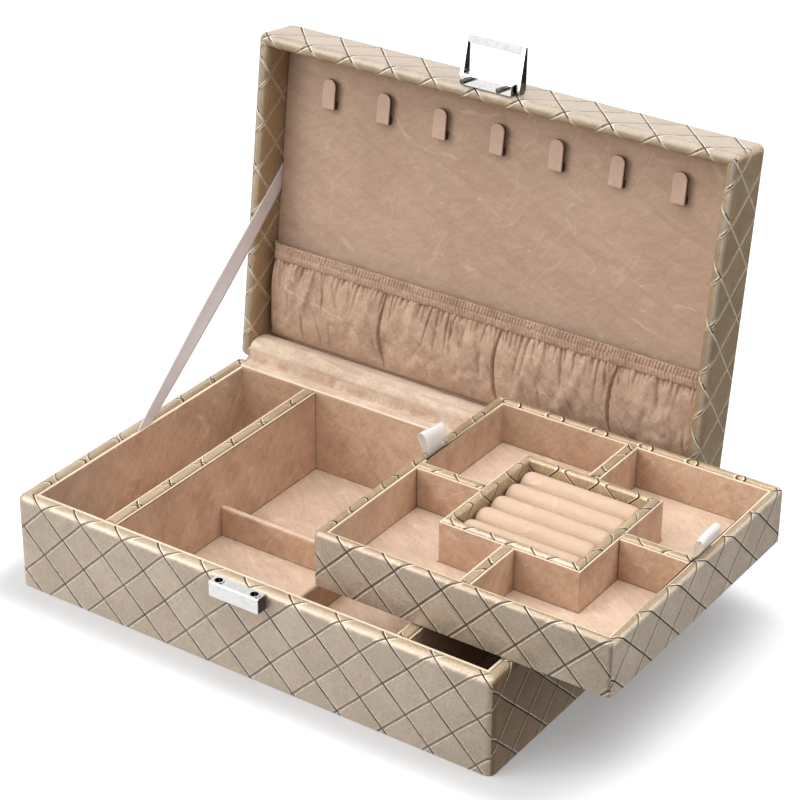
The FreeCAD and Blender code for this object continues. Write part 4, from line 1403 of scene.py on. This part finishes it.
@dataclass
class GatheredPocket:
    """Pocket of gathered cloth along the lid's lower edge, under a ruched elastic band."""

    end: float = 142.0
    mouth_y: float = 28.0
    elastic: float = 9.5
    bottom_y: float = 86.0
    panel: float = LID_PANEL_Z
    depth: float = 6.9
    seams: tuple[float, ...] = (-142.0, -60.3, 16.2, 89.5, 142.0)
    seam_bend: float = 2.8
    bell: float = 2.6
    cloth_grid: tuple[int, int] = (760, 54)
    band_grid: tuple[int, int] = (640, 16)
    cloth_thick: float = 0.9
    band_thick: float = 0.8
    folds: list[tuple[float, float, float, float, float]] = field(default_factory=list)
    puckers: list[tuple[float, float, float, float, float]] = field(default_factory=list)

    def build(self, looks: Palette) -> int:
        """Makes the cloth and the band.

        Args:
            looks: The finishes.

        Returns:
            How many pieces it made.
        """
        self.lay_folds()
        cloth = self.cloth(looks)
        band = self.band(looks)
        Bench.wear(cloth, "lid_pocket", "velvet", "lid")
        Bench.wear(band, "pocket_elastic", "velvet", "lid")
        return 2

    def lay_folds(self) -> None:
        """Places the folds and puckers bay by bay: where, their drift, width, height and length."""
        chance = random.Random(11)
        for start, end in zip(self.seams, self.seams[1:]):
            bay = end - start
            count = max(3, round(6 * bay / 76.0))
            for i in range(count):
                at = start + bay * (i + 0.5 + chance.uniform(-0.3, 0.3)) / count
                drift = chance.uniform(-0.30, 0.20) + 0.10 * (at - (start + end) / 2) / bay
                shape = [chance.uniform(*span) for span in ((2.4, 5.0), (0.8, 1.9), (0.6, 1.3))]
                self.folds.append((at, drift, *shape))
            at = start + 1.6
            while at < end - 1.4:
                long = chance.choice((4.0, 6.0, 8.0, 10.0, 13.0, 18.0, 26.0))
                deep = chance.uniform(0.9, 1.9)
                self.puckers.append((at, chance.uniform(-0.20, 0.16), chance.uniform(0.55, 0.95), deep, long))
                at += chance.uniform(2.0, 4.6)

    def fullness(self, x: float, down: float) -> float:
        """How full the cloth is at a place.

        Args:
            x: The place across the lid.
            down: The share of the way from the band to the bottom.

        Returns:
            From nought at a seam to one.
        """
        bent = x + self.seam_bend * math.sin(math.pi * min(1.0, down * 1.15))
        for start, end in zip(self.seams, self.seams[1:]):
            first, last = start == -self.end, end == self.end
            if start <= bent <= end or (last and bent > end) or (first and bent < start):
                past = max(0.0, bent - start)
                rise = 1.0 - 0.20 * math.exp(-past / 8.0) - 0.26 * math.exp(-past / 0.35)
                if first:
                    rise = 1.0 - math.exp(-(x + self.end) / 2.2)
                fall = 1.0 - 0.62 * math.exp(-max(0.0, end - bent) / 0.30)
                if last:
                    fall = 1.0 - math.exp(-(self.end - x) / 2.2)
                return max(0.0, rise * fall)
        return 0.0

    def stand_off(self, x: float, down: float) -> float:
        """How far the cloth stands off the panel.

        Args:
            x: The place across the lid.
            down: The share of the way from the band to the bottom.

        Returns:
            The distance in millimetres.
        """
        full = self.fullness(x, down)
        belly = 0.80 + 0.20 * math.sin(math.pi * min(1.0, down * 1.3)) if down < 0.77 else 0.80
        tuck = 1.0 - max(0.0, (down - 0.68) / 0.32) ** 2.2
        base = self.depth * full * belly * max(0.0, tuck)
        y = down * (self.bottom_y - self.mouth_y - self.elastic)
        ripple = 0.0
        for at, drift, width, high, reach in self.folds:
            centre = at + drift * y + 1.2 * math.sin(y / 11.0 + at)
            off = (x - centre) / (width * (0.8 + 0.8 * down))
            if abs(off) < self.bell:
                fade = max(0.0, 1.0 - down / reach)
                side = 1.0 if off < 0.0 else 2.2
                ripple += high * fade * math.exp(-off * off * side)
        for at, drift, width, deep, long in self.puckers:
            off = (x - at - drift * y) / width
            if abs(off) < self.bell and y < long:
                ripple -= deep * (1.0 - y / long) ** 0.6 * math.exp(-off * off)
        crumple = waviness(x / 9.0, y / 17.0, 2.0) * 0.55 + waviness(x / 3.6, y / 8.0, 5.0) * 0.22
        crumple += 0.95 * abs(waviness(x / 13.0 + y / 30.0, y / 24.0 - x / 50.0, 11.0))
        crumple -= 0.80 * creasing(x / 10.0 - y / 22.0, y / 30.0, 23.0, 0.12)
        rim = min(1.0, down * 6.0 + 0.25) * min(1.0, (1.0 - down) * 7.0)
        below = 1.0 - 0.16 * math.exp(-y / 2.2)
        relief = (ripple * 1.15 + crumple * rim * 1.2) * full ** 0.5
        return base * below + relief * min(1.0, (1.0 - down) * 5.0)

    def cloth(self, looks: Palette) -> Object:
        """The pocket's cloth below the band.

        Args:
            looks: The finishes.

        Returns:
            The cloth.
        """
        hem = self.mouth_y + self.elastic
        run = self.bottom_y - hem
        mesh = bmesh.new()
        columns, rows = self.cloth_grid
        bmesh.ops.create_grid(mesh, x_segments=columns, y_segments=rows, size=0.5)
        for vertex in mesh.verts:
            x = vertex.co.x * 2.0 * (self.end - 0.35)
            down = vertex.co.y + 0.5
            y = hem - 0.3 + (run + 0.3) * down
            off = max(0.0, self.stand_off(x, down)) + 0.1
            vertex.co = Vector((x, y, self.panel - off - self.cloth_thick)) * MM
        return self.sewn(mesh, "velvet_gathered_pocket", looks.cloth_velvet, self.cloth_thick)

    def band(self, looks: Palette) -> Object:
        """The elastic band with its fine ruching in two rows.

        Args:
            looks: The finishes.

        Returns:
            The band.
        """
        mesh = bmesh.new()
        columns, rows = self.band_grid
        bmesh.ops.create_grid(mesh, x_segments=columns, y_segments=rows, size=0.5)
        for vertex in mesh.verts:
            x = vertex.co.x * 2.0 * (self.end - 0.4)
            down = vertex.co.y + 0.5
            row = 0.0 if down < 0.5 else 1.0
            sway = 1.6 * waviness(x / 13.0, row * 3.0, 1.0) + (1.0 - 2.0 * row) * 2.2 * down
            wave = math.sin(2.0 * math.pi * (x + sway) / 2.0 + row * 2.4)
            stitch = math.exp(-(((down - 0.5) / 0.05) ** 2)) + math.exp(-(((down - 0.97) / 0.05) ** 2))
            high = 0.46 * wave * (1.0 - 0.5 * stitch) - 0.45 * stitch
            high += 0.30 * waviness(x / 2.6, down * 5.0, 8.0)
            ends = min(1.0, (self.end - abs(x)) / 4.0)
            ends = ends * ends * (3.0 - 2.0 * ends)
            off = self.depth * 0.80 * (0.35 + 0.65 * ends) + 0.3
            level = max(0.15, off + high * (0.4 + 0.6 * ends))
            y = self.mouth_y + self.elastic * down + 0.10 * math.sin(2.0 * math.pi * x / 2.1) * (1.0 - down)
            place = Vector((x, max(y, self.mouth_y), self.panel - level - self.band_thick))
            vertex.co = place * MM
        return self.sewn(mesh, "velvet_pocket_band", looks.cloth_velvet, self.band_thick)

    def sewn(self, mesh: BMesh, name: str, material: Material, thick: float) -> Object:
        """Turns a flat-lid grid into cloth on the open lid.

        Args:
            mesh: The grid, at the cloth's outer face.
            name: The piece's name.
            material: Its finish.
            thick: The cloth's thickness.

        Returns:
            The piece.
        """
        Bench.faced(mesh, -1.0)
        mesh.transform(SWING.matrix())
        made = Bench.piece(mesh, name, [material])
        Bench.thicken(made, thick, -1.0)
        return made


@dataclass
class LidShell:
    """The lid: leather shell, boards and velvet inner panel."""

    panel_radius: float = 0.6

    def build(self, looks: Palette) -> int:
        """Dresses the lid and wraps its panel.

        Args:
            looks: The finishes.

        Returns:
            How many new pieces it made.
        """
        Bench.dress(looks.lid_leather, "lid_leather_wrap")
        Bench.dress(looks.board, *boards("lid", "top"))
        Bench.dress(looks.padding, "lid_padding")
        # The panel's rounded edges take painted shade.
        finishes = (looks.panel_velvet, looks.seam)
        Bench.soften("wrapped_lid_panel", "lid_inner_panel", self.panel_radius, *finishes)
        return 1


@dataclass
class Hasp:
    """Metal catch on the base, block and swinging ring on the lid."""

    ring_radius: float = 0.3

    def build(self, looks: Palette) -> int:
        """Dresses the metal and rounds the ring.

        Args:
            looks: The finishes.

        Returns:
            How many new pieces it made.
        """
        Bench.dress(looks.metal, "catch_block", "latch_block")
        Bench.dress(looks.screw_metal, "catch_screws", "latch_screws", "latch_pivot_pins")
        # The pins and the ring's rounded edges take painted dark reflection.
        Bench.dress(looks.painted_dark_metal, "latch_pins")
        Bench.soften("rounded_latch_ring", "latch_ring", self.ring_radius, looks.metal, looks.painted_dark_metal)
        return 1


@dataclass
class LiftOutTray:
    """The tray: leather shell, velvet liners, dividers and their leather caps."""

    edge: float = 85.0
    wall_radius: float = 0.5
    floor_radius: float = 0.45
    centre: Pair = TRAY_CENTRE
    box_out: Pair = (37.0, 43.5)

    def build(self, looks: Palette) -> int:
        """Dresses the tray and wraps its liners.

        Args:
            looks: The finishes.

        Returns:
            How many new pieces it made.
        """
        Bench.dress(looks.tray_leather, "tray_leather_wrap")
        Bench.dress(looks.ring_box_leather, "ring_box_leather")
        Bench.dress(looks.bar_leather, "tray_divider_caps")
        Bench.dress(looks.board, *boards("tray", "floor"), "tray_dividers", "ring_box_walls")
        Bench.dress(looks.base_paper, "tray_bottom_cover")
        walls = ("tray_wall_liners", "tray_divider_liners", "ring_box_liners")
        # The second finish, on the liners' rounded edges, is painted shade in the crevices.
        velvet = (looks.velvet, looks.seam, looks.edge_paper)
        for node in walls:
            Bench.wrap(node, self.wall_radius, *velvet, self.edge, self.outward)
        Bench.wrap("tray_floor_liners", self.floor_radius, looks.floor_velvet, looks.seam)
        return len(walls) + 1

    def outward(self, place: Vector) -> bool:
        """Whether a place lies by an outer corner of the ring box, which keeps its cloth instead of painted
        shade.
        """
        off_x, off_y = abs(place.x - self.centre[0]), abs(place.y - self.centre[1])
        return self.box_out[0] < off_x < self.box_out[1] and self.box_out[0] < off_y < self.box_out[1]


@dataclass
class RingRolls:
    """Five padded velvet rolls that grip rings between them."""

    centre: Pair = TRAY_CENTRE
    count: int = 5
    half_length: float = 35.2
    pitch: float = 14.2
    foot: float = 60.6
    crown: float = 84.5
    tight: float = 0.45
    round_end: float = 6.0
    pieces: int = 44

    def build(self, looks: Palette) -> int:
        """Sews, stuffs and lays the rolls.

        Args:
            looks: The finishes.

        Returns:
            How many pieces it made.
        """
        pattern = self.pattern()
        Stuffing(voxel_mm=1.3, pressure=4.0, frames=14, most_mm=0.7).fill(pattern)
        whole = bmesh.new()
        for number in range(self.count):
            start = len(whole.verts)
            whole.from_mesh(pattern.data)
            whole.verts.ensure_lookup_table()
            laid = whole.verts[start:]
            if number % 2:
                bmesh.ops.scale(whole, vec=(-1.0, 1.0, 1.0), verts=laid)
            shift = (number - (self.count - 1) / 2) * self.pitch
            sag = 0.25 * math.sin(2.1 * number)
            place = Vector((self.centre[0], self.centre[1] + shift, sag))
            bmesh.ops.translate(whole, vec=place * MM, verts=laid)
        bmesh.ops.recalc_face_normals(whole, faces=whole.faces)
        bpy.data.objects.remove(pattern)
        made = Bench.piece(whole, "velvet_ring_rolls", [looks.roll_velvet])
        Bench.rounded(made)
        Bench.wear(made, "ring_rolls", "roll_velvet", "tray")
        return 1

    def pattern(self) -> Object:
        """One slack roll about the tray's middle, a little smaller than it ends up.

        Returns:
            The roll.
        """
        half = self.pitch / 2 - self.tight
        middle = self.crown - self.tight - half
        reach = self.half_length - self.tight
        mesh = bmesh.new()
        bmesh.ops.create_circle(mesh, cap_ends=True, segments=40, radius=half * MM)
        bmesh.ops.rotate(mesh, matrix=Matrix.Rotation(math.radians(90), 4, "Y"), verts=mesh.verts)
        Bench.reshape(mesh, lambda point: self.footed(point, half, middle))
        bmesh.ops.translate(mesh, vec=(-reach * MM, 0.0, 0.0), verts=mesh.verts)
        cap = mesh.faces[:]
        for _ in range(self.pieces):
            grown = bmesh.ops.extrude_face_region(mesh, geom=cap)["geom"]
            moved = [item for item in grown if isinstance(item, BMVert)]
            bmesh.ops.translate(mesh, vec=(2.0 * reach * MM / self.pieces, 0.0, 0.0), verts=moved)
            cap = [item for item in grown if isinstance(item, BMFace)]
        Bench.reshape(mesh, lambda point: self.rounded_end(point, reach))
        bmesh.ops.recalc_face_normals(mesh, faces=mesh.faces)
        return Bench.piece(mesh, "roll_pattern", [])

    def footed(self, point: Vector, half: float, middle: float) -> Vector:
        """Point of the round section, drawn down to a straight-sided foot.

        Args:
            point: Point of a circle about the origin.
            half: The circle's radius.
            middle: The height of its middle on the roll.

        Returns:
            The point of the roll's section.
        """
        low = max(0.0, -point.z / half)
        if low == 0.0:
            return Vector((point.x, point.y, point.z + middle))
        side = 1.0 if point.y >= 0.0 else -1.0
        width = half * (1.0 - low ** 10) ** 0.3 if low < 0.999 else 0.0
        drop = (middle - self.foot) * min(1.0, low * 1.25)
        return Vector((point.x, side * max(abs(point.y), width), middle - drop))

    def rounded_end(self, point: Vector, reach: float) -> Vector:
        """Point of the roll with its ends drawn in.

        Args:
            point: Point of the straight roll.
            reach: Half its length.

        Returns:
            The point of the finished roll.
        """
        near = max(0.0, (abs(point.x) - (reach - self.round_end)) / self.round_end)
        drawn = 1.0 - math.sqrt(max(0.0, 1.0 - near ** 2.4))
        height = (point.z - self.foot) * (1.0 - 0.17 * drawn) + self.foot
        return Vector((point.x, point.y * (1.0 - 0.34 * drawn), height))


@dataclass
class PullLoops:
    """White ribbon loops that lift the tray."""

    centre: Pair = TRAY_CENTRE
    width: float = 18.0
    board_in: float = 81.3
    base: float = 85.9
    rise: float = 14.0
    tuck: float = 8.0
    thick: float = 0.45
    half_gap: float = 2.0
    half_fold: float = 0.27
    inset: float = 0.55
    lean: float = 3.0
    bends: tuple[Colour, ...] = (
        (0.25, -0.8, 0.4), (0.7, -1.3, 0.85), (0.85, 0.0, 1.06), (0.9, 1.3, 0.85), (0.4, 0.8, 0.4),
    )
    left_v: float = 16.0
    right_v: float = 8.0

    def build(self, looks: Palette) -> int:
        """Makes both loops.

        Args:
            looks: The finishes.

        Returns:
            How many pieces it made.
        """
        self.loop(looks, "satin_left_pull_loop", "left_pull_loop", -1.0, self.left_v)
        self.loop(looks, "satin_right_pull_loop", "right_pull_loop", 1.0, self.right_v)
        return 2

    def loop(self, looks: Palette, name: str, node: str, side: float, v: float) -> None:
        """Makes one loop, with a curl across its width.

        Args:
            looks: The finishes.
            name: The piece's name.
            node: The CAD node it replaces.
            side: -1 for the left wall, 1 for the right.
            v: Its middle along the wall.
        """
        mid, off = self.board_in - self.inset, self.half_fold
        path = [(mid - off, self.base - self.tuck), (mid - off, self.base + 0.6)]
        for leant, apart, risen in self.bends:
            path.append((mid + self.lean * leant + self.half_gap * apart, self.base + self.rise * risen))
        path += [(mid + off, self.base + 0.9), (mid + off, self.base - self.tuck)]
        line = Smoothed(path, 3).spaced(46)
        mesh = Bench.strip([(-out, z) for out, z in line], -self.width / 2, self.width / 2, 16)

        def placed(point: Vector) -> Vector:
            """Lays a point of the straight loop on the tray.

            Args:
                point: The point, in millimetres.

            Returns:
                Its place.
            """
            across, out, z = point.x, -point.y, point.z
            free = max(0.0, min(1.0, (z - self.base) / self.rise))
            edge = across / (self.width / 2)
            curl = free * (0.9 * edge * edge - 0.3) + 0.5 * free * math.sin(1.9 * edge + v)
            narrow = 1.0 - 0.10 * (1.0 - free) * 0.5
            slope = 1.4 * free * side * edge * 0.5
            return Vector((
                self.centre[0] + side * (out + curl),
                self.centre[1] + v + across * narrow,
                z + slope - 0.7 * free * edge * edge,
            ))

        Bench.reshape(mesh, placed)
        bmesh.ops.recalc_face_normals(mesh, faces=mesh.faces)
        made = Bench.piece(mesh, name, [looks.loop_satin])
        Bench.thicken(made, self.thick, 0.0)
        Bench.wear(made, node, "white_satin", "tray")


@dataclass
class Studio:
    """Camera, white sweep and soft lights."""

    camera_place: Colour = (0.6678, -0.9334, 0.7485)
    right: Colour = (0.8239, 0.5666, 0.0052)
    up: Colour = (-0.2770, 0.3947, 0.8761)
    forward: Colour = (-0.4944, 0.7233, -0.4822)
    lens: float = 114.3
    sky_lit: Pair = (0.46, 0.23)
    backdrop: Pair = (1.45, 0.80)
    shining: float = 1.8
    aim: Colour = (0.05, 0.02, 0.08)

    def build(self) -> int:
        """Sets up the studio.

        Returns:
            How many lamps it has.
        """
        self.camera()
        self.sweep()
        self.sky()
        lamps = (
            ("key_softbox", (-1.3, -1.1, 1.25), 1.0, 11.6),
            ("front_fill", (-0.8, -1.45, 0.75), 1.2, 11.6),
            ("top_softbox", (-0.1, -0.25, 1.95), 1.8, 30.0),
            ("right_kicker", (1.0, 0.3, 0.95), 0.5, 5.5),
            ("camera_fill", (0.6, -1.05, 0.95), 0.3, 0.9),
        )
        for name, place, size, watts in lamps:
            self.lamp(name, place, size, watts)
        return len(lamps)

    def camera(self) -> None:
        """Places the camera where the picture was taken from."""
        data = bpy.data.cameras.new("view")
        data.lens = self.lens
        data.sensor_width = 36.0
        data.clip_start, data.clip_end = 0.01, 50.0
        held = bpy.data.objects.new("view", data)
        bpy.context.scene.collection.objects.link(held)
        back = tuple(-part for part in self.forward)
        turn = Matrix((self.right, self.up, back)).transposed().to_4x4()
        held.matrix_world = Matrix.Translation(self.camera_place) @ turn
        bpy.context.scene.camera = held

    def sweep(self) -> None:
        """White floor under the box."""
        mesh = bmesh.new()
        bmesh.ops.create_grid(mesh, x_segments=2, y_segments=2, size=6.0)
        bmesh.ops.translate(mesh, vec=(0.0, 0.0, -0.0003), verts=mesh.verts)
        floor = Bench.piece(mesh, "studio_floor", [StudioWhite("studio_white").build()])

    def sky(self) -> None:
        """Plain white surroundings, brighter to the camera and in the metal than as a light."""
        g = Graph(bpy.data.worlds.new("studio"))
        x, y, z = g.split(g.places.outputs["Generated"])
        camera, glass, glossy = g.rays("Camera", "Transmission", "Glossy")
        lit = x.ease(-0.7, 0.8).between(*self.sky_lit)
        behind = y.ease(0.1, 0.6) * z.ease(0.25, 0.60).between(*self.backdrop)
        shine = (lit * self.shining).greater(behind)
        level = (glossy * (shine - lit) + lit).greater(camera.greater(glass))
        shown = g.node("ShaderNodeBackground", None, {"Color": (1.0, 1.0, 1.0, 1.0), "Strength": level})
        g.node("ShaderNodeOutputWorld", None, {"Surface": shown.outputs[0]})
        bpy.context.scene.world = g.owner

    def lamp(self, name: str, place: Colour, size: float, watts: float) -> None:
        """Adds a square softbox that looks at the box.

        Args:
            name: The lamp's name.
            place: Where it hangs, in metres.
            size: The length of its side.
            watts: Its power.
        """
        data = bpy.data.lights.new(name, "AREA")
        data.shape = "SQUARE"
        data.size = size
        data.energy = watts
        held = bpy.data.objects.new(name, data)
        bpy.context.scene.collection.objects.link(held)
        aim = Vector(self.aim) - Vector(place)
        held.matrix_world = Matrix.Translation(place) @ aim.to_track_quat("-Z", "Y").to_matrix().to_4x4()


def main() -> None:
    """Builds the studio and every sub-assembly in order."""
    logging.basicConfig(level=logging.INFO, format="%(name)s: %(message)s")
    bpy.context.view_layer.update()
    bpy.context.scene.view_settings.view_transform = "Standard"
    LOG.info("studio with %d lamps", Studio().build())
    looks = Palette()
    parts = (
        BaseBox(), HingeCloth(), RibbonStay(), LidShell(), NecklaceHooks(), GatheredPocket(),
        Hasp(), LiftOutTray(), RingRolls(), PullLoops(),
    )
    for part in parts:
        LOG.info("%s: %d new pieces", type(part).__name__, part.build(looks))


if __name__ == "__main__":
    main()
